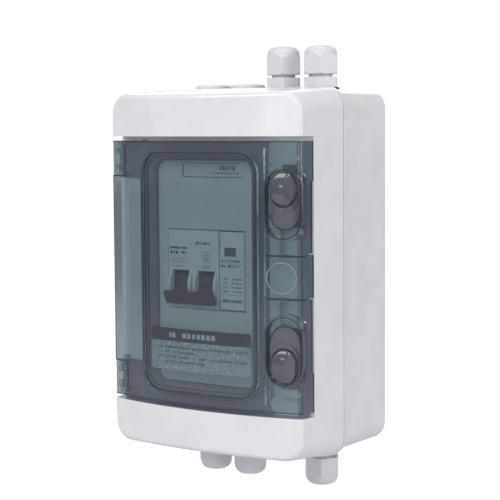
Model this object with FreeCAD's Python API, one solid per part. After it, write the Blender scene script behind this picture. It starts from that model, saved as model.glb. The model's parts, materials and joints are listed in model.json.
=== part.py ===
"""Small DC combiner box: a wall-mounted enclosure with a tinted door, a two-pole breaker and a
surge protector on a rail, and screwed cable glands.

Millimetres. +Z is up, the front faces -Y, and the wall side is the plane Y = 0. The origin is the
middle of the wall side, which is also the middle of the four wall-fixing holes.
"""
import FreeCAD, Part
import math
import os

V = FreeCAD.Vector
os.makedirs("parts", exist_ok=True)

# ---------------------------------------------------------------- driving dimensions
# enclosure
FLANGE_HALF_W = 70.0          # half width over the base flange, the widest place
FLANGE_HALF_H = 105.0         # half height over the base flange
FRONT_HALF_W = 65.8           # half width of the cover where its side meets the front
FRONT_HALF_H = 102.0
CORNER_R = 12.0
CROWN_Y = -99.0               # front of the bowed cover on the centre line
SIDE_Y = -90.0                # front of the bowed cover at its side edges
FRONT_EDGE_R = 3.0
SPLIT_Y = -52.2               # parting plane between base and cover
SPLIT_GAP = 0.5
FLANGE_T = 3.8
BASE_HALF_W = 68.0
BASE_HALF_H = 103.5
BASE_CORNER_R = 11.0
BASE_EDGE_R = 2.4
WALL = 2.5
FLOOR_T = 2.8
# door and the recess that it closes
RECESS_HALF_H = 77.5
DOOR_HALF_H = 75.0
DOOR_T = 2.2
WRAP_Y = -79.5                # how far the door wraps back along the right side
RECESS_SIDE = 2.8             # depth of the recess along the side
RECESS_FLOOR = 10.5           # depth of the recess floor behind the door's outer surface
COVER_SKIN = 2.2
HINGE_X, HINGE_Y = -60.5, -85.8
HINGE_PIN_R = 1.5
HINGE_FIT = 0.05
HINGE_RELIEF_R = 7.1
RIM_DEPTH = 3.8               # the window rim's front, behind the door's outer surface
WINDOW_HALF_W = 36.6
WINDOW_HALF_H = 66.2
WINDOW_R = 9.0
WINDOW_STEP = 0.6
# latches
LATCH_X = 55.4
LATCH_Z = 40.4                # middle of the upper latch tray
TRAY_HALF_W = 9.9
TRAY_HALF_H = 18.7
SLIDER_HALF_W = 8.2
SLIDER_HALF_H = 16.2
LATCH_TRAVEL = 4.5
SPRING_R = 1.25
SPRING_WIRE_R = 0.2
RIB_Z = 11.9
# module row
ROW_Z = 1.6                   # rail centre line
RAIL_FRONT_Y = -27.2
NOSE_DEPTH = 60.0             # rail to module front, a fixed size of modular devices
NOSE_Y = RAIL_FRONT_Y - NOSE_DEPTH
MODULE_W = 17.7
ROW_X0 = -26.6                # left side of the breaker
NOSE_H = 45.0
BODY_H = 81.0
SHOULDER_DEPTH = 44.0
# panel round the modules
PANEL_FRONT_Y = -87.0
PANEL_T = 1.8
PANEL_HALF_W = 33.8
PANEL_HALF_H = 64.0
# breaker toggle
TOGGLE_Y = NOSE_Y + 10.0
TOGGLE_Z = -7.5
TOGGLE_HALF_SWING = 27.0
TOGGLE_REACH = 15.8
# cable entries
ENTRY_PITCH = 25.8
ENTRY_MID_X = -1.3
ENTRY_Y = -23.8
ENTRY_HOLE_R = 7.7
ENTRY_THREAD_R = 7.5
WASHER_T = 1.7
# wall fixing
WALL_HOLE_X, WALL_HOLE_Z, WALL_HOLE_R = 50.0, 85.0, 2.6

BOW_R = (FRONT_HALF_W ** 2 + (SIDE_Y - CROWN_Y) ** 2) / (2 * (SIDE_Y - CROWN_Y))
FAR = 300.0


# ---------------------------------------------------------------- small shape helpers
def box(x0, x1, y0, y1, z0, z1):
    return Part.makeBox(x1 - x0, y1 - y0, z1 - z0, V(x0, y0, z0))


def rod(radius, start, axis, length):
    return Part.makeCylinder(radius, length, V(*start), V(*axis))


def rod_x(radius, x0, x1, y, z):
    return rod(radius, (x0, y, z), (1, 0, 0), x1 - x0)


def rod_y(radius, x, z, y0, y1):
    return rod(radius, (x, y0, z), (0, 1, 0), y1 - y0)


def rod_z(radius, x, y, z0, z1):
    return rod(radius, (x, y, z0), (0, 0, 1), z1 - z0)


def join(*shapes):
    result = shapes[0]
    for shape in shapes[1:]:
        result = result.fuse(shape)
    return result.removeSplitter()


def group(shapes):
    return Part.makeCompound(list(shapes))


def flip_z(shape):
    """The same shape mirrored in the plane Z = 0."""
    return shape.mirror(V(0, 0, 0), V(0, 0, 1))


def outline(half_w, half_h, radius, y, cx=0.0, cz=0.0):
    """A rounded rectangle in the plane at y."""
    k = radius * (1 - math.sqrt(0.5))
    edges = []
    for sx, sz in ((1, 1), (-1, 1), (-1, -1), (1, -1)):
        side = V(cx + sx * half_w, y, cz + sz * (half_h - radius))
        mid = V(cx + sx * (half_w - k), y, cz + sz * (half_h - k))
        end = V(cx + sx * (half_w - radius), y, cz + sz * half_h)
        corner = (side, mid, end) if sx == sz else (end, mid, side)
        edges.append(corner)
    parts = []
    for i, corner in enumerate(edges):
        parts.append(Part.Arc(*corner).toShape())
        following = edges[(i + 1) % 4]
        if corner[2].distanceToPoint(following[0]) > 1e-6:
            parts.append(Part.LineSegment(corner[2], following[0]).toShape())
    return Part.Wire(parts)


def plate(half_w, half_h, radius, y0, y1, cx=0.0, cz=0.0):
    """A straight prism with rounded corners, from y0 to y1."""
    face = Part.Face(outline(half_w, half_h, radius, y0, cx, cz))
    return face.extrude(V(0, y1 - y0, 0))


def tapered(front_half, rear_half, radius, y0, y1):
    """A prism from y0 (front) to y1 (rear) whose half size (w, h) changes evenly between them."""
    fw, fh = front_half
    rw, rh = rear_half
    wedge = Part.makeWedge(-fw, y0, -fh, -rh, -rw, fw, y1, fh, rh, rw)
    corners = [e for e in wedge.Edges if e.BoundBox.YLength > 0.9 * (y1 - y0)]
    return wedge.makeFillet(radius, corners)


def behind_bow(depth):
    """Everything behind the bowed front surface, moved in by depth."""
    radius = BOW_R - depth
    return rod_z(radius, 0, CROWN_Y + BOW_R, -FAR / 2, FAR / 2)


def bow_y(x, depth=0.0):
    """Y of the bowed surface, moved in by depth, at x."""
    radius = BOW_R - depth
    return CROWN_Y + BOW_R - math.sqrt(radius ** 2 - x ** 2)


def bow_slab(front, back):
    """The curved sheet between two depths behind the outer surface."""
    return behind_bow(front).cut(behind_bow(back))


def envelope(inset):
    """The cover's outside shape with its sides and front moved in by inset."""
    y0 = CROWN_Y - 6.0
    share = (y0 - SPLIT_Y) / (SIDE_Y - SPLIT_Y)
    front = (FLANGE_HALF_W - share * (FLANGE_HALF_W - FRONT_HALF_W) - inset,
             FLANGE_HALF_H - share * (FLANGE_HALF_H - FRONT_HALF_H) - inset)
    rear = (FLANGE_HALF_W - inset, FLANGE_HALF_H - inset)
    prism = tapered(front, rear, CORNER_R - inset * 0.6, y0, SPLIT_Y)
    solid = prism.common(behind_bow(inset))
    edge_r = FRONT_EDGE_R - inset
    if edge_r > 0.4:
        edges = [e for e in solid.Edges if e.CenterOfMass.y < SIDE_Y + 3]
        solid = solid.makeFillet(edge_r, edges)
    return solid


def ring_face(outer, inner, y0, y1, radius):
    """A frame between two half sizes (w, h)."""
    return plate(outer[0], outer[1], radius + outer[0] - inner[0], y0, y1).cut(
        plate(inner[0], inner[1], radius, y0 - 1, y1 + 1))


def hexagon(across_flats, x, y, z0, z1):
    """A hexagonal prism along Z, with flats facing Y."""
    r = across_flats / math.sqrt(3)
    pts = [V(x + r * math.cos(math.radians(60 * i)), y + r * math.sin(math.radians(60 * i)), z0)
           for i in range(6)]
    return Part.Face(Part.makePolygon(pts + pts[:1])).extrude(V(0, 0, z1 - z0))


# ---------------------------------------------------------------- base
COVER_SCREWS = [(sx * 46.0, sz * 71.5) for sx in (-1, 1) for sz in (-1, 1)]
POST_R = 5.2
INSERT_R, INSERT_L, SCREW_R = 3.0, 8.0, 1.95
RAIL_PILLARS = (-48.0, 44.0)
RAIL_DEPTH = 7.5
EARTH_BAR_Z = -66.0


def entry_points():
    """(x, side) for each cable entry: side is +1 on top and -1 below."""
    return [(ENTRY_MID_X + ENTRY_PITCH * (i - 1.5), side) for side in (1, -1) for i in range(4)]


def base_shell():
    outer = plate(BASE_HALF_W, BASE_HALF_H, BASE_CORNER_R, SPLIT_Y, 0)
    rear = [e for e in outer.Edges if e.BoundBox.YMin > -0.01]
    outer = outer.makeFillet(BASE_EDGE_R, rear)
    flange = plate(FLANGE_HALF_W, FLANGE_HALF_H, CORNER_R, SPLIT_Y, SPLIT_Y + FLANGE_T)
    bead = [e for e in flange.Edges if e.BoundBox.YMin > SPLIT_Y + FLANGE_T - 0.01]
    flange = flange.makeFillet(1.6, bead)
    shell = outer.fuse(flange)
    cavity = plate(BASE_HALF_W - WALL, BASE_HALF_H - WALL, BASE_CORNER_R - WALL, SPLIT_Y - 1, -FLOOR_T)
    shell = shell.cut(cavity)
    groove = ring_face((68.9, 103.9), (66.3, 101.3), SPLIT_Y - 1, SPLIT_Y + 1.6, 8.4)
    shell = shell.cut(groove)
    for x, z in COVER_SCREWS:
        shell = shell.fuse(rod_y(POST_R, x, z, SPLIT_Y, -FLOOR_T + 0.5))
        shell = shell.cut(rod_y(INSERT_R, x, z, SPLIT_Y - 1, SPLIT_Y + INSERT_L))
        shell = shell.cut(rod_y(SCREW_R + 0.3, x, z, SPLIT_Y, SPLIT_Y + 16))
    for x in RAIL_PILLARS:
        top = RAIL_FRONT_Y + RAIL_DEPTH
        shell = shell.fuse(rod_y(6.0, x, ROW_Z, top, -FLOOR_T + 0.5))
        shell = shell.cut(rod_y(1.6, x, ROW_Z, top - 1, top + 12))
    for x in (-26.0, 26.0):
        shell = shell.fuse(rod_y(4.0, x, EARTH_BAR_Z, -12.0, -FLOOR_T + 0.5))
        shell = shell.cut(rod_y(1.2, x, EARTH_BAR_Z, -13.0, -5.0))
    for sx in (-1, 1):
        for sz in (-1, 1):
            x, z = sx * WALL_HOLE_X, sz * WALL_HOLE_Z
            shell = shell.fuse(rod_y(6.0, x, z, -5.5, -FLOOR_T + 0.5))
            shell = shell.cut(rod_y(WALL_HOLE_R, x, z, -8, 1))
    for x, side in entry_points():
        lo, hi = sorted((side * (BASE_HALF_H - WALL - 2), side * (BASE_HALF_H + 2)))
        shell = shell.cut(rod_z(ENTRY_HOLE_R, x, ENTRY_Y, lo, hi))
    return shell.removeSplitter()


def cover_gasket():
    return ring_face((68.8, 103.8), (66.4, 101.4), SPLIT_Y - SPLIT_GAP, SPLIT_Y + 1.5, 8.5)


# ---------------------------------------------------------------- cover
HEAD_R, HEAD_H = 3.8, 2.6
SCREW_SINK = 4.2               # ledge under a cover screw's head, behind the recess floor
TUBE_START = 1.1               # where a screw tube grows out of the skin
LUG_R = 2.9
LUG_T = 3.0
LUG_LOW, LUG_HIGH = 54.3, 70.9


def screw_seat_y(x):
    """Y of the ledge in a screw tube that a cover screw's head bears on."""
    return bow_y(x, RECESS_FLOOR) + SCREW_SINK


def cover_lugs():
    """One pair of hinge lugs with necks running back and to the right, for the upper hinge."""
    lugs = []
    for z0 in (LUG_LOW, LUG_HIGH):
        eye = rod_z(LUG_R, HINGE_X, HINGE_Y, z0, z0 + LUG_T)
        neck = box(HINGE_X, HINGE_X + 9.0, HINGE_Y - 1.6, HINGE_Y + 1.6, z0, z0 + LUG_T)
        neck.rotate(V(HINGE_X, HINGE_Y, z0), V(0, 0, 1), 45)
        lugs.append(eye.fuse(neck))
    return lugs[0].fuse(lugs[1])


def keeper():
    """Catch on the recess floor that the upper latch nose stands behind."""
    y0, y1 = bow_y(LATCH_X, 5.6), bow_y(LATCH_X, 12.0)
    post = box(LATCH_X - 5, LATCH_X + 5, y0, y1, 64.2, 66.4)
    lip = box(LATCH_X - 5, LATCH_X + 5, y0, y0 + 1.3, 62.2, 64.4)
    return post.fuse(lip).cut(behind_bow(RECESS_FLOOR)).removeSplitter()


def front_cover():
    outer = envelope(0)
    side_core = envelope(RECESS_SIDE)
    core = side_core.common(behind_bow(RECESS_FLOOR))
    h = RECESS_HALF_H
    recess = box(-80, 80, -120, WRAP_Y + 0.5, -h, h).cut(core)
    cover = outer.cut(recess)
    relief = rod_z(HINGE_RELIEF_R, HINGE_X, HINGE_Y, -h, h)
    cover = cover.cut(relief)
    # raised pad beside the hinge, and the rim round the window
    pad = box(-52.6, -42.6, -120, -80, -53, 53).common(bow_slab(3.4, RECESS_FLOOR + 1))
    rim = plate(38.6, 68.2, WINDOW_R + 2, -110, -83.2).common(behind_bow(RIM_DEPTH))
    cover = cover.fuse(pad).fuse(rim)
    # inside of the shell
    hs = h + COVER_SKIN
    wide = envelope(WALL).cut(box(-80, 80, -120, WRAP_Y + 0.5 + COVER_SKIN, -hs, hs))
    deep = envelope(RECESS_SIDE + COVER_SKIN).common(behind_bow(RECESS_FLOOR + COVER_SKIN))
    pad_inside = box(-50.6, -44.6, -120, -80, -51, 51).common(behind_bow(3.4 + COVER_SKIN))
    inside = wide.fuse(deep).fuse(pad_inside)
    inside = inside.cut(rod_z(HINGE_RELIEF_R + 2.0, HINGE_X, HINGE_Y, -hs, hs))
    inside = inside.cut(plate(38.6, 68.2, WINDOW_R + 2, -110, -83.2))
    rear_rim = plate(FLANGE_HALF_W, FLANGE_HALF_H, CORNER_R, SPLIT_Y - 5, SPLIT_Y + 1)
    rear_rim = rear_rim.cut(plate(65.5, 100.5, 8, SPLIT_Y - 6, SPLIT_Y + 2))
    inside = inside.cut(rear_rim)
    cover = cover.cut(inside)
    # window well, its ledge, and the opening behind the panel
    well = tapered((WINDOW_HALF_W, WINDOW_HALF_H), (34.4, 64.6), 8.0, -97.0, PANEL_FRONT_Y + PANEL_T)
    front_of_well = plate(WINDOW_HALF_W, WINDOW_HALF_H, WINDOW_R, -120, -97.0)
    through = plate(31.6, 61.8, 5.0, -120, -70)
    cover = cover.cut(well.fuse(front_of_well).fuse(through))
    # screw tubes
    for x, z in COVER_SCREWS:
        start = bow_y(x, RECESS_FLOOR) + TUBE_START
        cover = cover.fuse(rod_y(POST_R, x, z, start, SPLIT_Y - SPLIT_GAP))
    for x, z in COVER_SCREWS:
        seat = screw_seat_y(x)
        cover = cover.cut(rod_y(HEAD_R + 0.5, x, z, seat - 8, seat))
        cover = cover.cut(rod_y(SCREW_R + 0.25, x, z, seat - 1, SPLIT_Y))
    cover = cover.fuse(cover_lugs()).fuse(flip_z(cover_lugs()))
    for z0 in (LUG_LOW, LUG_HIGH):
        hole = rod_z(HINGE_PIN_R, HINGE_X, HINGE_Y, z0 - 1, z0 + LUG_T + 1)
        cover = cover.cut(hole).cut(flip_z(hole))
    cover = cover.cut(box(-80, 80, SPLIT_Y - SPLIT_GAP, SPLIT_Y + 5, -120, 120))
    return cover.removeSplitter()


def cover_screws():
    screws = []
    for x, z in COVER_SCREWS:
        seat = screw_seat_y(x)
        head = rod_y(HEAD_R, x, z, seat - HEAD_H, seat)
        top = [e for e in head.Edges if e.BoundBox.YMax < seat - HEAD_H + 0.01]
        head = head.makeFillet(0.8, top)
        shank = rod_y(SCREW_R, x, z, seat - 0.5, SPLIT_Y + INSERT_L - 0.5)
        screw = head.fuse(shank)
        for a, b in ((2.4, 0.5), (0.5, 2.4)):
            screw = screw.cut(box(x - a, x + a, seat - HEAD_H - 1, seat - HEAD_H + 1.4, z - b, z + b))
        screws.append(screw.removeSplitter())
    return group(screws)


def cover_screw_inserts():
    return group(rod_y(INSERT_R, x, z, SPLIT_Y + 0.2, SPLIT_Y + INSERT_L).cut(
        rod_y(SCREW_R, x, z, SPLIT_Y - 1, SPLIT_Y + INSERT_L + 1)) for x, z in COVER_SCREWS)


def hinge_pin():
    pin = rod_z(HINGE_PIN_R, HINGE_X, HINGE_Y, LUG_LOW + 0.2, LUG_HIGH + LUG_T - 0.2)
    return pin.makeChamfer(0.3, [e for e in pin.Edges if e.Length < 12 and len(e.Vertexes) == 1])


# ---------------------------------------------------------------- door
KNUCKLE_R = 3.0
KNUCKLES = ((57.9, 61.4), (67.0, 70.5))
TRAY_FLOOR = 3.4
TRAY_T = 1.8
NECK_HALF_W, NECK_HALF_H = 3.0, 4.0


def stadium(half_w, half_h, y0, y1, cx, cz):
    return plate(half_w, half_h, half_w - 0.01, y0, y1, cx, cz)


def latch_tray():
    """Walls and floor of the upper latch tray, added behind the door skin."""
    wall = stadium(TRAY_HALF_W + 1.8, TRAY_HALF_H + 1.8, -110, -70, LATCH_X, LATCH_Z)
    wall = wall.common(bow_slab(DOOR_T - 0.3, TRAY_FLOOR + TRAY_T))
    return wall.common(envelope(RECESS_SIDE - 1.0))


def tray_cut():
    """Hollow of the upper latch tray and the slot in its floor."""
    hollow = stadium(TRAY_HALF_W, TRAY_HALF_H, -110, -70, LATCH_X, LATCH_Z).cut(behind_bow(TRAY_FLOOR))
    z0 = LATCH_Z - NECK_HALF_H - LATCH_TRAVEL - 0.4
    slot = box(LATCH_X - NECK_HALF_W - 0.4, LATCH_X + NECK_HALF_W + 0.4, -110, -78,
               z0, LATCH_Z + NECK_HALF_H + 0.4)
    return hollow.fuse(slot.common(behind_bow(1.0)))


def door_ribs():
    """Stiffening ribs behind the latch strip, and the frame that locates the seal."""
    strip = bow_slab(DOOR_T - 0.3, 5.0)
    ribs = [box(43.4, 44.8, -110, -70, -71, 71)]
    for z in (RIB_Z, -RIB_Z):
        ribs.append(box(43.4, 63.6, -110, -70, z - 0.6, z + 0.6))
    for z in (23.0, 56.5, 62.0):
        for side in (1, -1):
            ribs.append(box(43.4, 47.0, -110, -70, side * z - 0.5, side * z + 0.5))
    frame = ring_face((40.6, 70.4), (39.3, 69.1), -110, -70, WINDOW_R + 2.7)
    shape = frame
    for rib in ribs:
        shape = shape.fuse(rib)
    return shape.common(strip)


def spring_seat():
    """Tab under the upper latch spring."""
    x = LATCH_X - 4.6
    tab = box(x - 2.4, x + 2.4, -110, -70, RIB_Z - 0.6, RIB_Z + 0.6)
    return tab.common(bow_slab(DOOR_T - 0.3, 9.4))


def door_knuckles():
    """Knuckles of the upper hinge with the webs that carry them."""
    result = None
    for z0, z1 in KNUCKLES:
        web = box(HINGE_X - 2.4, HINGE_X + 2.4, -110, HINGE_Y, z0, z1).common(behind_bow(DOOR_T - 0.4))
        knuckle = rod_z(KNUCKLE_R, HINGE_X, HINGE_Y, z0, z1).fuse(web)
        result = knuckle if result is None else result.fuse(knuckle)
    return result


def door():
    skin = envelope(0).common(box(-65.6, 80, -120, WRAP_Y, -DOOR_HALF_H, DOOR_HALF_H))
    skin = skin.cut(envelope(DOOR_T))
    skin = skin.cut(box(-80, -60, -88.2, -70, -80, 80))
    skin = skin.fuse(door_ribs())
    for tray, seat, knuckles in ((latch_tray(), spring_seat(), door_knuckles()),
                                 (flip_z(latch_tray()), flip_z(spring_seat()), flip_z(door_knuckles()))):
        skin = skin.fuse(tray).fuse(seat).fuse(knuckles)
    skin = skin.cut(tray_cut()).cut(flip_z(tray_cut()))
    for z0, z1 in KNUCKLES:
        hole = rod_z(HINGE_PIN_R + HINGE_FIT, HINGE_X, HINGE_Y, z0 - 1, z1 + 1)
        skin = skin.cut(hole).cut(flip_z(hole))
    # window pane a little below the frame round it
    pane = plate(38.4, 68.0, WINDOW_R + 1.8, -110, -70).cut(behind_bow(WINDOW_STEP))
    skin = skin.cut(pane)
    # round knock-out between the latches
    groove = rod_y(8.9, LATCH_X - 1.0, 0, -110, -80).cut(rod_y(8.3, LATCH_X - 1.0, 0, -111, -79))
    skin = skin.cut(groove.cut(behind_bow(0.5)))
    # finger tab in the middle of the side flange
    for z in (13.0, -11.6):
        skin = skin.cut(box(60, 80, WRAP_Y - 5.0, WRAP_Y + 1, z - 0.4, z + 0.4))
    for z0, z1 in ((13.4, 53.0), (-53.0, -12.0)):
        skin = skin.cut(box(60, 80, WRAP_Y - 1.0, WRAP_Y + 1, z0, z1))
    return skin.removeSplitter()


def door_gasket():
    ring = ring_face((38.5, 68.1), (36.9, 66.5), -110, -70, WINDOW_R + 0.3)
    return ring.common(bow_slab(DOOR_T, 3.4))


def door_label():
    sheet = plate(34.6, 12.1, 0.6, -110, -70, 0.5, -44.0)
    return sheet.common(bow_slab(DOOR_T, DOOR_T + 0.15))


# ---------------------------------------------------------------- latches
def latch():
    """The upper slider: plate, thumb dome and lip in front, neck and nose behind the tray."""
    cz = LATCH_Z + TRAY_HALF_H - SLIDER_HALF_H - 0.3
    plate_front = 1.7
    slider = stadium(SLIDER_HALF_W, SLIDER_HALF_H, -110, -70, LATCH_X, cz)
    slider = slider.common(bow_slab(plate_front, TRAY_FLOOR - 0.3))
    dome_z = cz + 6.4
    dome = stadium(7.1, 9.4, -110, -70, LATCH_X, dome_z).common(behind_bow(-1.3)).cut(behind_bow(2.4))
    top = bow_y(LATCH_X, -1.0)
    ball = Part.makeSphere(21.0, V(LATCH_X + 4.4, top + 20.6, dome_z))
    dome = dome.common(ball)
    lip = stadium(7.6, 10.4, -110, -70, LATCH_X, dome_z - 2.4).cut(
        stadium(7.6, 10.4, -111, -69, LATCH_X, dome_z + 0.2))
    lip = lip.common(bow_slab(0.6, 2.4))
    neck = box(LATCH_X - NECK_HALF_W, LATCH_X + NECK_HALF_W, -110, -70,
               LATCH_Z - NECK_HALF_H, LATCH_Z + NECK_HALF_H).common(bow_slab(2.4, 6.4))
    back = box(LATCH_X - 6.8, LATCH_X + 5.5, -110, -70, LATCH_Z - 12.6, LATCH_Z + 12.0)
    back = back.common(bow_slab(TRAY_FLOOR + TRAY_T + 0.3, 7.3))
    nose = box(LATCH_X - 3.5, LATCH_X + 3.5, -110, -70, LATCH_Z + 11.0, 61.8)
    root = box(LATCH_X - 3.5, LATCH_X + 3.5, -110, -70, LATCH_Z + 8.0, LATCH_Z + 12.0)
    nose = nose.common(bow_slab(7.0, 9.0)).fuse(root.common(bow_slab(7.0, 9.0)))
    foot = box(LATCH_X - 6.8, LATCH_X - 2.4, -110, -70, LATCH_Z - 12.6, LATCH_Z - 11.2)
    foot = foot.common(bow_slab(TRAY_FLOOR + TRAY_T + 0.3, 9.4))
    return join(slider, dome, lip, neck, back, nose, foot)


def latch_spring():
    """Compression spring between the tab on the door and the slider's foot."""
    x = LATCH_X - 4.6
    y = bow_y(x, 7.4)
    z0 = RIB_Z + 0.6 + SPRING_WIRE_R
    z1 = LATCH_Z - 12.6 - SPRING_WIRE_R
    turns = 9
    helix = Part.makeHelix((z1 - z0) / turns, z1 - z0, SPRING_R)
    ring = Part.Wire([Part.makeCircle(SPRING_WIRE_R, V(SPRING_R, 0, 0), V(0, 1, 0))])
    coil = Part.Wire(helix.Edges).makePipeShell([ring], True, True)
    coil.translate(V(x, y, z0))
    return coil


# ---------------------------------------------------------------- panel round the modules
def module_panel():
    body = plate(PANEL_HALF_W, PANEL_HALF_H, 6.5, PANEL_FRONT_Y, PANEL_FRONT_Y + PANEL_T)
    front = [e for e in body.Edges if e.BoundBox.YMax < PANEL_FRONT_Y + 0.01]
    body = body.makeFillet(0.7, front)
    slot = plate(27.1, NOSE_H / 2 + 0.5, 0.8, PANEL_FRONT_Y - 1, PANEL_FRONT_Y + 5, 0, ROW_Z)
    body = body.cut(slot)
    label = plate(21.0, 4.15, 0.8, PANEL_FRONT_Y - 1, PANEL_FRONT_Y + 0.6, 4.7, 58.3)
    body = body.cut(label)
    for side in (1, -1):
        for x in (-18.0, 18.0):
            lo, hi = sorted((side * 60.0, side * 61.5))
            body = body.fuse(box(x - 4, x + 4, PANEL_FRONT_Y + PANEL_T - 0.5, PANEL_FRONT_Y + 7.5, lo, hi))
    return body.removeSplitter()


# ---------------------------------------------------------------- rail and earth bar
def din_rail():
    """Top-hat rail, 35 mm over its lips and 7.5 mm deep."""
    x0, x1 = -56.0, 52.0
    t = 1.0
    y0, y1 = RAIL_FRONT_Y, RAIL_FRONT_Y + RAIL_DEPTH
    web = box(x0, x1, y1 - t, y1, ROW_Z - 12.5, ROW_Z + 12.5)
    sides = [box(x0, x1, y0, y1, ROW_Z + s * 12.0 - 0.5, ROW_Z + s * 12.0 + 0.5) for s in (-1, 1)]
    lips = [box(x0, x1, y0, y0 + t, min(ROW_Z + s * 12.0, ROW_Z + s * 17.5),
                max(ROW_Z + s * 12.0, ROW_Z + s * 17.5)) for s in (-1, 1)]
    rail = join(web, *sides, *lips)
    for x in RAIL_PILLARS:
        rail = rail.cut(rod_y(2.2, x, ROW_Z, y1 - 3, y1 + 1))
    return rail


def pan_screw(x, z, seat, head_r, head_h, shank_r, length):
    """Pan-head screw pointing to +Y, its head bearing on the plane at seat."""
    head = rod_y(head_r, x, z, seat - head_h, seat)
    rim = [e for e in head.Edges if e.BoundBox.YMax < seat - head_h + 0.01]
    head = head.makeFillet(head_h * 0.4, rim)
    screw = head.fuse(rod_y(shank_r, x, z, seat - 0.2, seat + length))
    slot = box(x - head_r, x + head_r, seat - head_h - 1, seat - head_h * 0.55, z - 0.4, z + 0.4)
    return screw.cut(slot).removeSplitter()


def din_rail_screws():
    seat = RAIL_FRONT_Y + RAIL_DEPTH - 1.0
    return group(pan_screw(x, ROW_Z, seat, 3.6, 2.4, 1.6, 10.5) for x in RAIL_PILLARS)


EARTH_HOLES = [-20.0 + 8.0 * i for i in range(6)]


def terminal_bar_holder():
    z0, z1 = EARTH_BAR_Z - 6.0, EARTH_BAR_Z + 6.0
    foot = box(-32, 32, -15.0, -12.0, z0, z1)
    for side in (-1, 1):
        lo, hi = sorted((side * 23.2, side * 22.0))
        foot = foot.fuse(box(lo, hi, -22.0, -14.5, z0 + 1.5, z1 - 1.5))
    for x in (-26.0, 26.0):
        foot = foot.cut(rod_y(1.3, x, EARTH_BAR_Z, -24, -10))
    return foot.removeSplitter()


def terminal_bar():
    bar = box(-22, 22, -25.0, -15.5, EARTH_BAR_Z - 3.2, EARTH_BAR_Z + 3.2)
    for x in EARTH_HOLES:
        bar = bar.cut(rod_z(2.2, x, -18.6, EARTH_BAR_Z - 5, EARTH_BAR_Z + 5))
        bar = bar.cut(rod_y(1.7, x, EARTH_BAR_Z, -26, -19))
    return bar.removeSplitter()


def terminal_bar_screws():
    clamp = [pan_screw(x, EARTH_BAR_Z, -26.0, 2.6, 1.8, 1.68, 4.4) for x in EARTH_HOLES]
    fixing = [pan_screw(x, EARTH_BAR_Z, -15.0, 2.6, 1.8, 1.2, 9.0) for x in (-26.0, 26.0)]
    return group(clamp + fixing)


# ---------------------------------------------------------------- modules on the rail
RIVETS = [(-36.0, 34.0), (-36.0, -34.0), (-49.0, 34.0), (-49.0, -34.0), (-82.0, 17.5)]
CLAMP_Z = 30.5
CLAMP_Y = -60.0               # middle of the cage clamps


def side_profile(inset=0.0):
    """Outline of a module seen from its side, as (y, z) from the rail's front plane and row centre."""
    i = inset
    nose, shoulder = NOSE_Y + i, RAIL_FRONT_Y - SHOULDER_DEPTH + i
    rear, foot = RAIL_FRONT_Y - i, RAIL_FRONT_Y + 5.5 - i
    h, n = BODY_H / 2 - i, NOSE_H / 2 - i
    slot = 18.0 + i
    pts = [(foot, -h), (shoulder, -h), (shoulder, -n), (nose, -n), (nose, n), (shoulder, n), (shoulder, h),
           (foot, h), (foot, slot), (rear, slot), (rear, -slot), (foot, -slot)]
    return [V(0, y, z + ROW_Z) for y, z in pts]


def module_block(x0, x1, inset=0.0):
    pts = side_profile(inset)
    face = Part.Face(Part.makePolygon(pts + pts[:1]))
    block = face.extrude(V(x1 - x0, 0, 0))
    block.translate(V(x0, 0, 0))
    return block


def half_case(x0, x1, open_side):
    """One half shell of a breaker pole, open towards open_side (+1 or -1 along X)."""
    skin = 1.5
    block = module_block(x0, x1)
    inner = module_block(x0 - 0.1 if open_side < 0 else x0 + skin,
                         x1 + 0.1 if open_side > 0 else x1 - skin, skin)
    for y, z in RIVETS:
        inner = inner.cut(rod_x(2.4, x0 - 1, x1 + 1, y, z + ROW_Z))
    return block.cut(inner)


def toggle_slot(x_mid):
    return box(x_mid - 5.9, x_mid + 5.9, NOSE_Y - 6, NOSE_Y + 4, TOGGLE_Z - 8.4, TOGGLE_Z + 8.4)


def cheek(x0, x1):
    """Rounded cheek beside a toggle, standing out of the module's nose."""
    disc = rod_x(12.3, x0, x1, TOGGLE_Y, TOGGLE_Z)
    return disc.common(box(x0, x1, NOSE_Y - 5, NOSE_Y + 1.2, TOGGLE_Z - 7.2, TOGGLE_Z + 7.2))


def terminal_cuts(x_mid, y=CLAMP_Y):
    """Wire mouths in the end faces and screw holes in the shoulders of one pole."""
    cuts = None
    for side in (1, -1):
        lo, hi = sorted((side * (BODY_H / 2 - 3) + ROW_Z, side * (BODY_H / 2 + 1) + ROW_Z))
        mouth = rod_z(4.0, x_mid, y, lo, hi)
        hole = rod_y(3.2, x_mid, side * CLAMP_Z + ROW_Z, -80, -66)
        pair = mouth.fuse(hole)
        cuts = pair if cuts is None else cuts.fuse(pair)
    return cuts


def breaker_case(pole, half):
    """Half shell of pole 0 or 1; half 0 is its left side and half 1 its right side."""
    x0 = ROW_X0 + pole * MODULE_W
    mid = x0 + MODULE_W / 2
    a, b = (x0, mid) if half == 0 else (mid, x0 + MODULE_W)
    if half == 0:
        case = half_case(a, b, 1).fuse(cheek(x0 + 1.0, mid - 6.1))
    else:
        case = half_case(a, b, -1).fuse(cheek(mid + 6.1, x0 + MODULE_W - 1.0))
    case = case.cut(toggle_slot(mid)).cut(terminal_cuts(mid))
    case = case.cut(rod_x(9.8, mid - 5.9, mid + 5.9, TOGGLE_Y, TOGGLE_Z))
    case = case.cut(rod_x(1.3, a - 1, b + 1, TOGGLE_Y, TOGGLE_Z))
    case = case.cut(rod_x(1.0, a - 1, b + 1, ARM_Y, ARM_Z))
    for y, z in RIVETS:
        case = case.cut(rod_x(1.2, a - 1, b + 1, y, z + ROW_Z))
    case = case.cut(clip_channel(mid))
    return case.removeSplitter()


def clip_channel(mid):
    return box(mid - 3.3, mid + 3.3, RAIL_FRONT_Y + 1.2, RAIL_FRONT_Y + 4.6, -60, ROW_Z - 17.0)


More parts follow.
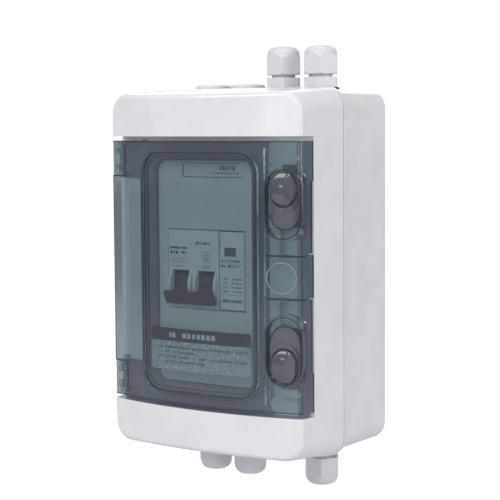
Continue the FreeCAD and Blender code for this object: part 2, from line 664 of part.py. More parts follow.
def din_clip(mid):
    """Slider that grips the lower lip of the rail."""
    y0, y1 = RAIL_FRONT_Y + 1.5, RAIL_FRONT_Y + 4.3
    tongue = box(mid - 3.0, mid + 3.0, y0, y1, ROW_Z - BODY_H / 2 - 3.4, ROW_Z - 15.2)
    pull = box(mid - 3.0, mid + 3.0, y0, y1 + 1.6, ROW_Z - BODY_H / 2 - 3.4, ROW_Z - BODY_H / 2 - 1.4)
    slot = box(mid - 1.2, mid + 1.2, y0 - 1, y1 + 3, ROW_Z - BODY_H / 2 - 3.0, ROW_Z - BODY_H / 2 - 1.8)
    return tongue.fuse(pull).cut(slot).removeSplitter()


def toggle_turned(shape):
    shape.rotate(V(0, TOGGLE_Y, TOGGLE_Z), V(1, 0, 0), TOGGLE_HALF_SWING)
    return shape


def toggle_paddle(pole):
    """Hub and paddle of one pole, in the off position."""
    mid = ROW_X0 + MODULE_W * (pole + 0.5)
    hub = rod_x(9.4, mid - 5.5, mid + 5.5, TOGGLE_Y, TOGGLE_Z)
    tip = TOGGLE_Y - TOGGLE_REACH
    paddle = box(mid - 5.5, mid + 5.5, tip + 1.6, TOGGLE_Y, TOGGLE_Z - 2.2, TOGGLE_Z + 2.2)
    shape = hub.fuse(paddle).cut(rod_x(1.25, mid - 6, mid + 6, TOGGLE_Y, TOGGLE_Z))
    return toggle_turned(shape.removeSplitter())


def toggle_tie_bar():
    """Bar that joins the two paddles, rounded along its front edges."""
    x0, x1 = ROW_X0 + 0.5, ROW_X0 + 2 * MODULE_W - 0.5
    tip = TOGGLE_Y - TOGGLE_REACH
    bar = box(x0, x1, tip - 1.4, tip + 1.6, TOGGLE_Z - 4.0, TOGGLE_Z + 4.0)
    front = [e for e in bar.Edges if e.BoundBox.YMax < tip - 1.39]
    bar = bar.makeFillet(1.0, front)
    return toggle_turned(bar)


def toggle_shaft():
    return rod_x(1.25, ROW_X0 + 0.4, ROW_X0 + 2 * MODULE_W - 0.4, TOGGLE_Y, TOGGLE_Z)


ARM_Y, ARM_Z = -62.0, -9.0


def contact_arms():
    """Moving contact arms on their own small hubs, one in each pole, open."""
    arms = []
    for pole in (0, 1):
        mid = ROW_X0 + MODULE_W * (pole + 0.5)
        hub = rod_x(3.0, mid - 2.5, mid + 2.5, ARM_Y, ARM_Z)
        arm = box(mid - 1.2, mid + 1.2, ARM_Y - 1.0, ARM_Y + 1.0, ARM_Z, ARM_Z + 16.0)
        tip = box(mid - 1.5, mid + 1.5, ARM_Y + 0.8, ARM_Y + 2.2, ARM_Z + 12.6, ARM_Z + 15.6)
        arms.append(hub.fuse(arm).fuse(tip).cut(rod_x(1.05, mid - 4, mid + 4, ARM_Y, ARM_Z)).removeSplitter())
    return group(arms)


def arm_shaft():
    return rod_x(1.0, ROW_X0 + 2.0, ROW_X0 + 2 * MODULE_W - 2.0, ARM_Y, ARM_Z)


def fixed_contacts():
    blocks = []
    for pole in (0, 1):
        mid = ROW_X0 + MODULE_W * (pole + 0.5)
        strap = box(mid - 2.5, mid + 2.5, ARM_Y + 7.6, ARM_Y + 9.0, 0.0, 26.0)
        tip = box(mid - 1.5, mid + 1.5, ARM_Y + 6.2, ARM_Y + 7.8, ARM_Z + 12.0, ARM_Z + 15.0)
        blocks.append(strap.fuse(tip).removeSplitter())
    return group(blocks)


def trip_coils():
    coils = []
    for pole in (0, 1):
        mid = ROW_X0 + MODULE_W * (pole + 0.5)
        body = rod_z(5.0, mid, -44.0, -24.0, -8.0)
        for k in range(5):
            z = -22.0 + 3.0 * k
            body = body.cut(rod_z(6.0, mid, -44.0, z, z + 1.0).cut(rod_z(4.0, mid, -44.0, z - 1, z + 2)))
        coils.append(body)
    return group(coils)


def arc_chutes():
    """Stacks of thin steel plates beside the contacts."""
    plates = []
    for pole in (0, 1):
        mid = ROW_X0 + MODULE_W * (pole + 0.5)
        plates += [box(mid - 6, mid + 6, -45.0, -33.0, 2.0 + 2.6 * k, 3.0 + 2.6 * k) for k in range(6)]
    return group(plates)


def module_clamp(mid, side):
    """Cage clamp round a wire mouth."""
    z = side * CLAMP_Z + ROW_Z
    cage = box(mid - 5.0, mid + 5.0, -65.0, -53.0, z - 5.0, z + 5.0)
    cage = cage.cut(box(mid - 3.8, mid + 3.8, -63.4, -54.2, z - 6, z + 6))
    return cage.cut(rod_y(2.0, mid, z, -66, -63)).removeSplitter()


def clamp_screw(mid, side):
    z = side * CLAMP_Z + ROW_Z
    return pan_screw(mid, z, -66.4, 2.9, 2.0, 1.95, 5.4)


def module_mid(index):
    """Middle X of module 0 or 1 (breaker poles) or 2 (surge protector)."""
    return SURGE_X0 + SURGE_W / 2 if index == 2 else ROW_X0 + MODULE_W * (index + 0.5)


def module_clamps(indices):
    return group(module_clamp(module_mid(i), side) for i in indices for side in (1, -1))


def module_clamp_screws(indices):
    return group(clamp_screw(module_mid(i), side) for i in indices for side in (1, -1))


def rivet_group(x0, x1):
    rivets = []
    for y, z in RIVETS:
        rivets.append(rod_x(1.2, x0 + 0.2, x1 - 0.2, y, z + ROW_Z))
    return group(rivets)


# ---------------------------------------------------------------- surge protector
SURGE_X0 = ROW_X0 + 2 * MODULE_W + 0.3
SURGE_W = 17.5
CART_BACK_Y = -52.0
CART_HALF_H = 22.2
STATUS = (3.4, 11.4, 12.4, 5.0)   # window's left and right from the cartridge's left, middle z, height


def surge_base():
    x0, x1 = SURGE_X0, SURGE_X0 + SURGE_W
    base = module_block(x0, x1)
    bay = box(x0 - 1, x1 + 1, -100, CART_BACK_Y, ROW_Z - CART_HALF_H - 0.4, ROW_Z + CART_HALF_H + 0.4)
    base = base.cut(bay)
    hollow = box(x0 + 1.6, x1 - 1.6, CART_BACK_Y + 3.0, -33.0, ROW_Z - 19, ROW_Z + 19)
    base = base.cut(hollow)
    for side in (1, -1):
        z = side * CLAMP_Z + ROW_Z
        base = base.cut(box(x0 + 1.6, x1 - 1.6, -68.6, -51.0, z - 6.4, z + 6.4))
        socket = box(x0 + 7.6, x1 - 7.6, CART_BACK_Y - 1, CART_BACK_Y + 4, side * 12 - 3, side * 12 + 3)
        base = base.cut(socket)
    mid = module_mid(2)
    return base.cut(terminal_cuts(mid)).cut(clip_channel(mid)).removeSplitter()


def surge_cartridge():
    x0, x1 = SURGE_X0 + 0.15, SURGE_X0 + SURGE_W - 0.15
    z0, z1 = ROW_Z - CART_HALF_H, ROW_Z + CART_HALF_H
    body = box(x0, x1, NOSE_Y, CART_BACK_Y - 0.3, z0, z1)
    front = [e for e in body.Edges if e.BoundBox.YMax < NOSE_Y + 0.01]
    body = body.makeFillet(0.8, front)
    body = body.cut(box(x0 + 1.5, x1 - 1.5, NOSE_Y + 5.0, CART_BACK_Y - 2.2, z0 + 1.5, z1 - 1.5))
    left, right, mid_z, height = STATUS
    low, high = mid_z - height / 2, mid_z + height / 2
    body = body.cut(box(x0 + left, x0 + right, NOSE_Y - 1, NOSE_Y + 1.2, low, high))
    chamber = box(x0 + left - 0.4, x0 + right + 0.4, NOSE_Y + 1.2, NOSE_Y + 3.6, low - 5.4, high + 0.4)
    body = body.cut(chamber)
    for lo, hi in ((14.5, 20.0), (-20.2, -15.6)):
        body = body.cut(box(x0 - 1, x0 + 0.9, NOSE_Y - 1, NOSE_Y + 3.0, lo, hi))
    for side in (1, -1):
        pin = box(x0 + 7.9, x1 - 7.9, CART_BACK_Y - 0.5, CART_BACK_Y + 2.6, side * 12 - 2, side * 12 + 2)
        body = body.fuse(pin)
    return body.removeSplitter()


def surge_flag():
    left, right, mid_z, height = STATUS
    x0 = SURGE_X0 + 0.15
    low, high = mid_z - height / 2, mid_z + height / 2
    return box(x0 + left, x0 + right, NOSE_Y + 1.6, NOSE_Y + 3.2, low - 0.2, high)


def surge_window():
    left, right, mid_z, height = STATUS
    x0 = SURGE_X0 + 0.15
    return plate((right - left) / 2 - 0.05, height / 2 - 0.05, 0.4, NOSE_Y + 0.3, NOSE_Y + 1.1,
                 x0 + (left + right) / 2, mid_z)


def surge_varistor():
    return rod_x(11.5, SURGE_X0 + 5.5, SURGE_X0 + 12.0, -67.2, ROW_Z - 6.0)


# ---------------------------------------------------------------- cable entries
GLANDS = [(2, 1), (3, 1), (0, -1), (1, -1), (3, -1)]     # (place in the row, side)
PLUGS = [(0, 1), (1, 1), (2, -1)]
HEX = 19.0
NECK_R = 6.9
GLAND_FLANGE = 6.0
NUT_LOW, NUT_HEX_TOP, NUT_TOP = 9.5, 20.8, 26.0
SEAL_BORE_R = 4.0


def entry_x(place):
    return ENTRY_MID_X + ENTRY_PITCH * (place - 1.5)


def placed(shape, side):
    """Turn a shape built upwards from Z = 0 so that it stands on the box's top or bottom."""
    if side < 0:
        shape.rotate(V(0, ENTRY_Y, 0), V(0, 1, 0), 180)
        shape.translate(V(0, 0, -BASE_HALF_H))
        return shape
    shape.translate(V(0, 0, BASE_HALF_H))
    return shape


def at_entry(builder, place, side):
    """Build one entry piece about the axis x = 0, then move it to its hole."""
    shape = placed(builder(), side)
    shape.translate(V(entry_x(place), 0, 0))
    return shape


def washer():
    return rod_z(10.7, 0, ENTRY_Y, 0, WASHER_T).cut(rod_z(ENTRY_THREAD_R + 0.1, 0, ENTRY_Y, -1, WASHER_T + 1))


def gland_collar():
    """Hexagon of the gland body, outside the wall."""
    top = WASHER_T + GLAND_FLANGE
    collar = hexagon(HEX, 0, ENTRY_Y, WASHER_T, top).common(
        rod_z(HEX / math.sqrt(3) - 0.25, 0, ENTRY_Y, WASHER_T, top))
    return collar.cut(rod_z(ENTRY_THREAD_R, 0, ENTRY_Y, 0, top + 1))


def gland_sleeve():
    """Threaded tube of the gland body, through the wall, the collar and the nut."""
    top = WASHER_T + GLAND_FLANGE
    sleeve = join(rod_z(NECK_R, 0, ENTRY_Y, top - 0.5, 16.0),
                  rod_z(ENTRY_THREAD_R, 0, ENTRY_Y, -8.5, top))
    sleeve = sleeve.cut(rod_z(4.8, 0, ENTRY_Y, -10, 20))
    return sleeve.cut(rod_z(6.0, 0, ENTRY_Y, 9.0, 20))


def gland_seal():
    return rod_z(5.95, 0, ENTRY_Y, 9.0, 16.2).cut(rod_z(SEAL_BORE_R, 0, ENTRY_Y, 8, 18))


def gland_claw():
    """Split collar above the seal, pressed inwards by the nut's cone."""
    cone = Part.makeCone(6.3, 5.3, 4.4, V(0, ENTRY_Y, 16.5), V(0, 0, 1))
    claw = cone.cut(rod_z(4.4, 0, ENTRY_Y, 15, 22))
    for k in range(4):
        slit = box(-0.35, 0.35, ENTRY_Y - 8, ENTRY_Y + 8, 18.2, 22)
        slit.rotate(V(0, ENTRY_Y, 0), V(0, 0, 1), 45 * k)
        claw = claw.cut(slit)
    return claw


def gland_nut():
    hexa = hexagon(HEX, 0, ENTRY_Y, NUT_LOW, NUT_TOP)
    profile = [V(0, 0, NUT_LOW), V(10.2, 0, NUT_LOW), V(HEX / math.sqrt(3), 0, NUT_LOW + 0.7),
               V(HEX / math.sqrt(3), 0, NUT_HEX_TOP - 1.6), V(9.6, 0, NUT_HEX_TOP + 0.2)]
    line = Part.makePolygon(profile)
    dome = Part.Arc(V(9.6, 0, NUT_HEX_TOP + 0.2), V(8.3, 0, NUT_TOP - 1.6), V(5.4, 0, NUT_TOP)).toShape()
    close = Part.makePolygon([V(5.4, 0, NUT_TOP), V(0, 0, NUT_TOP), V(0, 0, NUT_LOW)])
    face = Part.Face(Part.Wire(line.Edges + [dome] + close.Edges))
    turned = face.revolve(V(0, 0, 0), V(0, 0, 1), 360)
    turned.translate(V(0, ENTRY_Y, 0))
    nut = hexa.common(turned)
    nut = nut.cut(rod_z(NECK_R + 0.05, 0, ENTRY_Y, NUT_LOW - 1, 16.6))
    nut = nut.cut(Part.makeCone(6.6, 5.6, 4.6, V(0, ENTRY_Y, 16.6), V(0, 0, 1)))
    return nut.cut(rod_z(4.7, 0, ENTRY_Y, 18, 30))


def locknut():
    low, high = -WALL - 3.9, -WALL
    nut = hexagon(18.0, 0, ENTRY_Y, low, high)
    return nut.cut(rod_z(ENTRY_THREAD_R, 0, ENTRY_Y, low - 1, high + 1))


def blank_plug():
    """Low domed disc with a short threaded shank."""
    low, high = WASHER_T, WASHER_T + 2.6
    disc = rod_z(10.5, 0, ENTRY_Y, low, high)
    rim = [e for e in disc.Edges if e.BoundBox.ZMin > high - 0.01 and len(e.Vertexes) == 1]
    disc = disc.makeFillet(1.6, rim)
    slot = box(-6.0, 6.0, ENTRY_Y - 0.8, ENTRY_Y + 0.8, high - 0.9, high + 1)
    shank = rod_z(ENTRY_THREAD_R, 0, ENTRY_Y, -8.0, low + 0.5)
    return disc.fuse(shank).cut(slot).cut(rod_z(5.5, 0, ENTRY_Y, -9, 0)).removeSplitter()


# ---------------------------------------------------------------- wires held inside
WIRE_R = 1.9


def wire_along(points, radius, bend):
    """Round wire along straight runs joined by arcs of the same bend radius."""
    pts = [V(*p) for p in points]
    edges = []
    start = pts[0]
    for before, corner, after in zip(pts, pts[1:], pts[2:]):
        a = (before - corner).normalize()
        b = (after - corner).normalize()
        half = a.getAngle(b) / 2
        reach = bend / math.tan(half)
        p0, p1 = corner + a * reach, corner + b * reach
        centre = corner + (a + b).normalize() * (bend / math.sin(half))
        mid = centre + (corner - centre).normalize() * bend
        edges.append(Part.LineSegment(start, p0).toShape())
        edges.append(Part.Arc(p0, mid, p1).toShape())
        start = p1
    edges.append(Part.LineSegment(start, pts[-1]).toShape())
    path = Part.Wire(edges)
    ring = Part.Wire([Part.makeCircle(radius, pts[0], pts[1] - pts[0])])
    return path.makePipeShell([ring], True, True)


def surge_jumper():
    """Loop from the breaker's right pole to the surge protector, above the modules."""
    a, b = module_mid(1), module_mid(2)
    z = ROW_Z + BODY_H / 2 - 3.0
    route = [(a, CLAMP_Y, z), (a, CLAMP_Y, z + 14), (b, CLAMP_Y, z + 14), (b, CLAMP_Y, z)]
    return wire_along(route, WIRE_R, 6.0)


def earth_wire():
    """From the surge protector down and back to the terminal bar."""
    x = module_mid(2)
    z = ROW_Z - BODY_H / 2 + 3.0
    low = EARTH_BAR_Z + 3.6
    return wire_along([(x, CLAMP_Y, z), (x, CLAMP_Y, z - 12.0), (20.0, -18.6, low + 9.0), (20.0, -18.6, low)],
                      WIRE_R, 5.0)


# ---------------------------------------------------------------- all nodes
NODES = {
    "base_shell": base_shell,
    "front_cover": front_cover,
    "latch_keepers": lambda: group([keeper(), flip_z(keeper())]),
    "cover_gasket": cover_gasket,
    "cover_screws": cover_screws,
    "cover_screw_inserts": cover_screw_inserts,
    "hinge_pins": lambda: group([hinge_pin(), flip_z(hinge_pin())]),
    "door": door,
    "door_gasket": door_gasket,
    "door_label": door_label,
    "latch_upper": latch,
    "latch_lower": lambda: flip_z(latch()),
    "latch_spring_upper": latch_spring,
    "latch_spring_lower": lambda: flip_z(latch_spring()),
    "module_panel": module_panel,
    "din_rail": din_rail,
    "din_rail_screws": din_rail_screws,
    "terminal_bar_holder": terminal_bar_holder,
    "terminal_bar": terminal_bar,
    "terminal_bar_screws": terminal_bar_screws,
    "breaker_toggle_left": lambda: toggle_paddle(0),
    "breaker_toggle_right": lambda: toggle_paddle(1),
    "breaker_toggle_tie_bar": toggle_tie_bar,
    "breaker_toggle_shaft": toggle_shaft,
    "breaker_contact_arms": contact_arms,
    "breaker_arm_shaft": arm_shaft,
    "breaker_fixed_contacts": fixed_contacts,
    "breaker_trip_coils": trip_coils,
    "breaker_arc_chutes": arc_chutes,
    "terminal_clamps": lambda: module_clamps((0, 1, 2)),
    "terminal_screws": lambda: module_clamp_screws((0, 1, 2)),
    "breaker_rivets": lambda: rivet_group(ROW_X0, ROW_X0 + 2 * MODULE_W),
    "breaker_din_clips": lambda: group(din_clip(module_mid(i)) for i in (0, 1)),
    "surge_base": surge_base,
    "surge_cartridge": surge_cartridge,
    "surge_flag": surge_flag,
    "surge_window": surge_window,
    "surge_varistor": surge_varistor,
    "surge_din_clip": lambda: din_clip(module_mid(2)),
    "surge_jumper_wire": surge_jumper,
    "earth_wire": earth_wire,
    "entry_washers": lambda: group(at_entry(washer, p, s) for p, s in GLANDS + PLUGS),
    "gland_collars": lambda: group(at_entry(gland_collar, p, s) for p, s in GLANDS),
    "gland_sleeves": lambda: group(at_entry(gland_sleeve, p, s) for p, s in GLANDS),
    "gland_seals": lambda: group(at_entry(gland_seal, p, s) for p, s in GLANDS),
    "entry_locknuts": lambda: group(at_entry(locknut, p, s) for p, s in GLANDS + PLUGS),
    "blank_plugs": lambda: group(at_entry(blank_plug, p, s) for p, s in PLUGS),
}
for pole in (0, 1):
    for half, side_name in enumerate(("left", "right")):
        NODES[f"breaker_pole_{pole + 1}_case_{side_name}"] = (
            lambda pole=pole, half=half: breaker_case(pole, half))
for number, (place, side) in enumerate(GLANDS, start=1):
    NODES[f"gland_nut_{number}"] = lambda place=place, side=side: at_entry(gland_nut, place, side)
for number, (place, side) in enumerate(GLANDS, start=1):
    NODES[f"gland_claw_{number}"] = lambda place=place, side=side: at_entry(gland_claw, place, side)


def main():
    for name, build in NODES.items():
        shape = build()
        box_ = shape.BoundBox
        print(f"{name:32s} solids {len(shape.Solids)} valid {shape.isValid()} volume {shape.Volume:10.1f} "
              f"x {box_.XMin:.1f}..{box_.XMax:.1f} y {box_.YMin:.1f}..{box_.YMax:.1f} "
              f"z {box_.ZMin:.1f}..{box_.ZMax:.1f}", flush=True)
        shape.exportStep(f"parts/{name}.step")


main()
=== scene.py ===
"""Looks of a wall-mounted DC combiner box: a light grey housing with a smoke-tinted door, a breaker and
a surge protector behind it, and cable glands. Metres, Z up, front towards -Y."""
import json
import math

import bmesh
import bpy
from mathutils import Matrix, Vector

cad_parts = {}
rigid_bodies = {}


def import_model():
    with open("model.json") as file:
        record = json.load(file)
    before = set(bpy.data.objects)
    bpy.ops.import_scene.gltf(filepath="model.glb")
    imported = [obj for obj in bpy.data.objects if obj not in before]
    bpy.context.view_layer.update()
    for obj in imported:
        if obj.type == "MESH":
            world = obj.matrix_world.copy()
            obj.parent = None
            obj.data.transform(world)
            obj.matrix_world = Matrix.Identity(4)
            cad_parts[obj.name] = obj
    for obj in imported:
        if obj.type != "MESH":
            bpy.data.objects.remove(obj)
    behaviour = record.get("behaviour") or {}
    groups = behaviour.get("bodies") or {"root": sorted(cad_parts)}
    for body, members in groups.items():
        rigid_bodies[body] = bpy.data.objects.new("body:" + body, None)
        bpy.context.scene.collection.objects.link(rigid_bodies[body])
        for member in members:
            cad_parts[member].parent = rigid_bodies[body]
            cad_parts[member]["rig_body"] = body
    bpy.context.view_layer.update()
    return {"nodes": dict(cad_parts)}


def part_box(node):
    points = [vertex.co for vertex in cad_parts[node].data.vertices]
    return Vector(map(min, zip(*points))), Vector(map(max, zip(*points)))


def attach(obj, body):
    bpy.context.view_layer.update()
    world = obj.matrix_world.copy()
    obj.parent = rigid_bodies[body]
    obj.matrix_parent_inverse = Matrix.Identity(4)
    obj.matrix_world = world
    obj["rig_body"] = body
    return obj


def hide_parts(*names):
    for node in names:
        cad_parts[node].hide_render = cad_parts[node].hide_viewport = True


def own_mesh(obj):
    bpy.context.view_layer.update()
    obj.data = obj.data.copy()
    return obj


bl_info = {
    "name": "DC combiner box",
    "version": (1, 0, 0),
    "blender": (4, 5, 0),
    "location": "View3D > Sidebar > Combiner box",
    "description": "Builds the visible pieces of a small DC combiner box round its CAD frame",
    "category": "Object",
}

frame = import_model()

MM = 0.001
CROWN_Y = -99.0 * MM                  # front of the bowed cover on the centre line
SIDE_Y = -90.0 * MM                   # front of the bowed cover at its side edges
BOW_HALF_W = 65.8 * MM
BOW_R = (BOW_HALF_W ** 2 + (SIDE_Y - CROWN_Y) ** 2) / (2 * (SIDE_Y - CROWN_Y))


# ------------------------------------------------------------------ small helpers
def linear(colour):
    """A linear RGBA colour from an sRGB hex string."""
    channels = (int(colour[i:i + 2], 16) / 255 for i in (1, 3, 5))
    return tuple(c / 12.92 if c <= 0.04045 else ((c + 0.055) / 1.055) ** 2.4 for c in channels) + (1.0,)


def add(tree, kind, inputs=None, **settings):
    """A new node in a tree: settings are its properties, and inputs holds values or sockets to link."""
    made = tree.nodes.new(kind)
    for name, value in settings.items():
        setattr(made, name, value)
    for name, value in (inputs or {}).items():
        if isinstance(value, bpy.types.NodeSocket):
            tree.links.new(value, made.inputs[name])
        else:
            made.inputs[name].default_value = value
    return made


def per_mm(size):
    """Texture scale at which a pattern's features are about size millimetres."""
    return 1.0 / (size * MM)


def bow_y(x, depth=0.0):
    """Y of the bowed front surface at x, moved in by depth."""
    return CROWN_Y + BOW_R - math.sqrt((BOW_R - depth) ** 2 - x ** 2)


def new_piece(name, mesh, material, body, replaced=()):
    """Links a finished mesh as a piece of the object, on its body and with its finish."""
    piece = bpy.data.objects.new(name, mesh)
    bpy.context.scene.collection.objects.link(piece)
    mesh.materials.clear()
    mesh.materials.append(material)
    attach(piece, body)
    if replaced:
        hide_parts(*replaced)
    return piece


MERGE_DISTANCE = 1e-6                 # vertices nearer than this are the same
FLAT_ANGLE = math.radians(0.3)        # faces that meet at less are one face
SHARP_ANGLE = math.radians(32.0)      # edges sharper than this are rounded


def merged_copy(node, cut_heights=()):
    """A CAD node's mesh with its loose triangles joined, its flat faces whole, and cuts at some heights."""
    bm = bmesh.new()
    bm.from_mesh(frame["nodes"][node].data)
    bmesh.ops.remove_doubles(bm, verts=bm.verts, dist=MERGE_DISTANCE)
    bmesh.ops.dissolve_limit(bm, angle_limit=FLAT_ANGLE, verts=bm.verts, edges=bm.edges)
    for z in cut_heights:
        every = list(bm.verts) + list(bm.edges) + list(bm.faces)
        bmesh.ops.bisect_plane(bm, geom=every, dist=1e-7, plane_co=(0, 0, z), plane_no=(0, 0, 1))
    mesh = bpy.data.meshes.new(node + "_copy")
    bm.to_mesh(mesh)
    bm.free()
    custom = mesh.attributes.get("custom_normal")
    if custom:
        mesh.attributes.remove(custom)
    return mesh


def softened(mesh, width):
    """The mesh with its hard edges rounded and its curved faces shaded smooth."""
    mesh.shade_smooth()
    worker = bpy.data.objects.new("worker", mesh)
    bpy.context.scene.collection.objects.link(worker)
    bevel = worker.modifiers.new("Bevel", "BEVEL")
    bevel.width = width
    bevel.segments = 2
    bevel.limit_method = "ANGLE"
    bevel.angle_limit = SHARP_ANGLE
    bevel.miter_outer = "MITER_ARC"
    bevel.use_clamp_overlap = True
    weighted = worker.modifiers.new("Weighted", "WEIGHTED_NORMAL")
    weighted.keep_sharp = True
    depsgraph = bpy.context.evaluated_depsgraph_get()
    done = bpy.data.meshes.new_from_object(worker.evaluated_get(depsgraph), depsgraph=depsgraph)
    bpy.data.objects.remove(worker)
    return done


def smooth_node(node, name, material, width, cut_heights=()):
    """Replaces a CAD node with its merged copy, its hard edges rounded by width."""
    cad = frame["nodes"][node]
    mesh = softened(merged_copy(node, cut_heights), width)
    mesh.name = name
    return new_piece(name, mesh, material, cad["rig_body"], (node,))


# ------------------------------------------------------------------ materials
COLOUR_A, COLOUR_B, COLOUR_OUT = 6, 7, 2        # sockets of a Mix node that mixes colours


def blank_material(name):
    """A new material with its tree emptied, and its object coordinates."""
    material = bpy.data.materials.new(name)
    material.use_nodes = True
    tree = material.node_tree
    tree.nodes.clear()
    where = add(tree, "ShaderNodeTexCoord").outputs["Object"]
    return material, tree, where


def cloudy_colour(tree, where, size, colour, wander=0.93):
    """A colour that drifts to a slightly darker one in clouds of size mm."""
    clouds = add(tree, "ShaderNodeTexNoise",
                 {"Vector": where, "Scale": per_mm(size), "Detail": 3.0, "Roughness": 0.5})
    share = add(tree, "ShaderNodeMapRange",
                {"Value": clouds.outputs["Fac"], "From Min": 0.3, "From Max": 0.7})
    darker = tuple(c * wander for c in colour[:3]) + (1.0,)
    mix = add(tree, "ShaderNodeMix", {COLOUR_A: tuple(colour[:3]) + (1.0,), COLOUR_B: darker,
                                      0: share.outputs["Result"]}, data_type="RGBA")
    return mix.outputs[COLOUR_OUT]


def fine_skin(tree, where, grain, depth):
    """A normal with the fine unevenness of a moulded or ground skin: grain mm wide, depth mm deep."""
    skin = add(tree, "ShaderNodeTexNoise",
               {"Vector": where, "Scale": per_mm(grain), "Detail": 2.0, "Roughness": 0.5})
    bump = add(tree, "ShaderNodeBump",
               {"Height": skin.outputs["Fac"], "Strength": 1.0, "Distance": depth * MM})
    return bump.outputs["Normal"]


def uneven_gloss(tree, where, size, rough):
    """A roughness that wanders by a sixth, as a handled surface does, in smears of size mm."""
    smears = add(tree, "ShaderNodeTexNoise",
                 {"Vector": where, "Scale": per_mm(size), "Detail": 4.0, "Roughness": 0.6})
    return add(tree, "ShaderNodeMapRange", {
        "Value": smears.outputs["Fac"], "From Min": 0.3, "From Max": 0.7,
        "To Min": rough * 0.84, "To Max": rough * 1.16}).outputs["Result"]


MOULDED_CLOUD = 18.0                  # mm, width of the faint clouds in a moulded colour


def moulded(name, colour, rough, grain, depth, **sockets):
    """Moulded plastic: a faint cloud of colour, a fine skin of grain mm, depth mm deep, and uneven gloss."""
    material, tree, where = blank_material(name)
    shader = add(tree, "ShaderNodeBsdfPrincipled", {
        "Base Color": cloudy_colour(tree, where, MOULDED_CLOUD, colour),
        "Roughness": uneven_gloss(tree, where, MOULDED_CLOUD / 3, rough),
        "IOR": 1.53, "Normal": fine_skin(tree, where, grain, depth), **sockets})
    add(tree, "ShaderNodeOutputMaterial", {"Surface": shader.outputs["BSDF"]})
    return material


METAL_CLOUD = 4.0                     # mm, width of the patches in a metal's tone


def metal(name, colour, rough, grain, depth):
    """Metal with a default IOR, a cloud of tone and fine unevenness."""
    material, tree, where = blank_material(name)
    shader = add(tree, "ShaderNodeBsdfPrincipled", {
        "Base Color": cloudy_colour(tree, where, METAL_CLOUD, colour, 0.8), "Metallic": 1.0,
        "Roughness": uneven_gloss(tree, where, METAL_CLOUD, rough),
        "Normal": fine_skin(tree, where, grain, depth)})
    add(tree, "ShaderNodeOutputMaterial", {"Surface": shader.outputs["BSDF"]})
    return material


def clear_plastic(name, tint, rough, grain, depth, reflection_haze=0.0, reflection_haze_colour=(0.4, 0.44, 0.62, 1.0)):
    """Transparent plastic that lamps and diffuse light pass straight through, tinted the same way.

    The milky bluish share of each surface is a painted reflection haze, standing in for the surroundings
    reflected in the plastic."""
    material, tree, where = blank_material(name)
    normal = fine_skin(tree, where, grain, depth)
    seen = add(tree, "ShaderNodeBsdfPrincipled", {
        "Base Color": tuple(tint[:3]) + (1.0,), "Roughness": rough, "IOR": 1.58,
        "Transmission Weight": 1.0, "Normal": normal}).outputs["BSDF"]
    # painted reflection haze: a milky bluish diffuse layer mixed over the clear plastic
    if reflection_haze:
        milk = add(tree, "ShaderNodeBsdfPrincipled", {
            "Base Color": cloudy_colour(tree, where, 30.0, reflection_haze_colour, 0.85),
            "Roughness": rough + 0.1, "IOR": 1.58, "Normal": normal})
        seen = add(tree, "ShaderNodeMixShader", {0: reflection_haze, 1: seen, 2: milk.outputs["BSDF"]}).outputs["Shader"]
    root = tuple(math.sqrt(c) for c in tint[:3]) + (1.0,)
    passing = add(tree, "ShaderNodeBsdfTransparent", {"Color": root})
    path = add(tree, "ShaderNodeLightPath")
    either = add(tree, "ShaderNodeMath",
                 {0: path.outputs["Is Shadow Ray"], 1: path.outputs["Is Diffuse Ray"]}, operation="MAXIMUM")
    mix = add(tree, "ShaderNodeMixShader",
              {0: either.outputs[0], 1: seen, 2: passing.outputs["BSDF"]})
    add(tree, "ShaderNodeOutputMaterial", {"Surface": mix.outputs["Shader"]})
    return material


def bubbled_film():
    """Clear polyester film stuck on with small air bubbles and a milky glue: white specks of 0.5 to 2 mm."""
    material, tree, where = blank_material("Clear polyester film with bubbles")
    cells = add(tree, "ShaderNodeTexVoronoi", {"Vector": where, "Scale": per_mm(1.9), "Randomness": 1.0})
    speck = add(tree, "ShaderNodeMapRange", {"Value": cells.outputs["Distance"], "From Min": 0.1,
                                             "From Max": 0.55, "To Min": 0.75, "To Max": 0.0})
    blotches = add(tree, "ShaderNodeTexNoise", {"Vector": where, "Scale": per_mm(6.0), "Detail": 4.0,
                                                "Roughness": 0.7})
    patches = add(tree, "ShaderNodeMapRange", {"Value": blotches.outputs["Fac"], "From Min": 0.35,
                                               "From Max": 0.65, "To Min": 0.15, "To Max": 1.0})
    share = add(tree, "ShaderNodeMath", {0: speck.outputs[0], 1: patches.outputs[0], 2: 0.4},
                operation="MULTIPLY_ADD")
    bump = add(tree, "ShaderNodeBump", {"Height": cells.outputs["Distance"], "Strength": 1.0,
                                        "Distance": 0.05 * MM})
    milk = add(tree, "ShaderNodeBsdfPrincipled",
               {"Base Color": linear("#E4E9EC"), "Roughness": 0.45, "Normal": bump.outputs["Normal"]})
    clear = add(tree, "ShaderNodeBsdfTransparent", {"Color": (0.97, 0.98, 0.98, 1)})
    mix = add(tree, "ShaderNodeMixShader", {0: share.outputs[0], 1: clear.outputs[0], 2: milk.outputs[0]})
    add(tree, "ShaderNodeOutputMaterial", {"Surface": mix.outputs[0]})
    return material


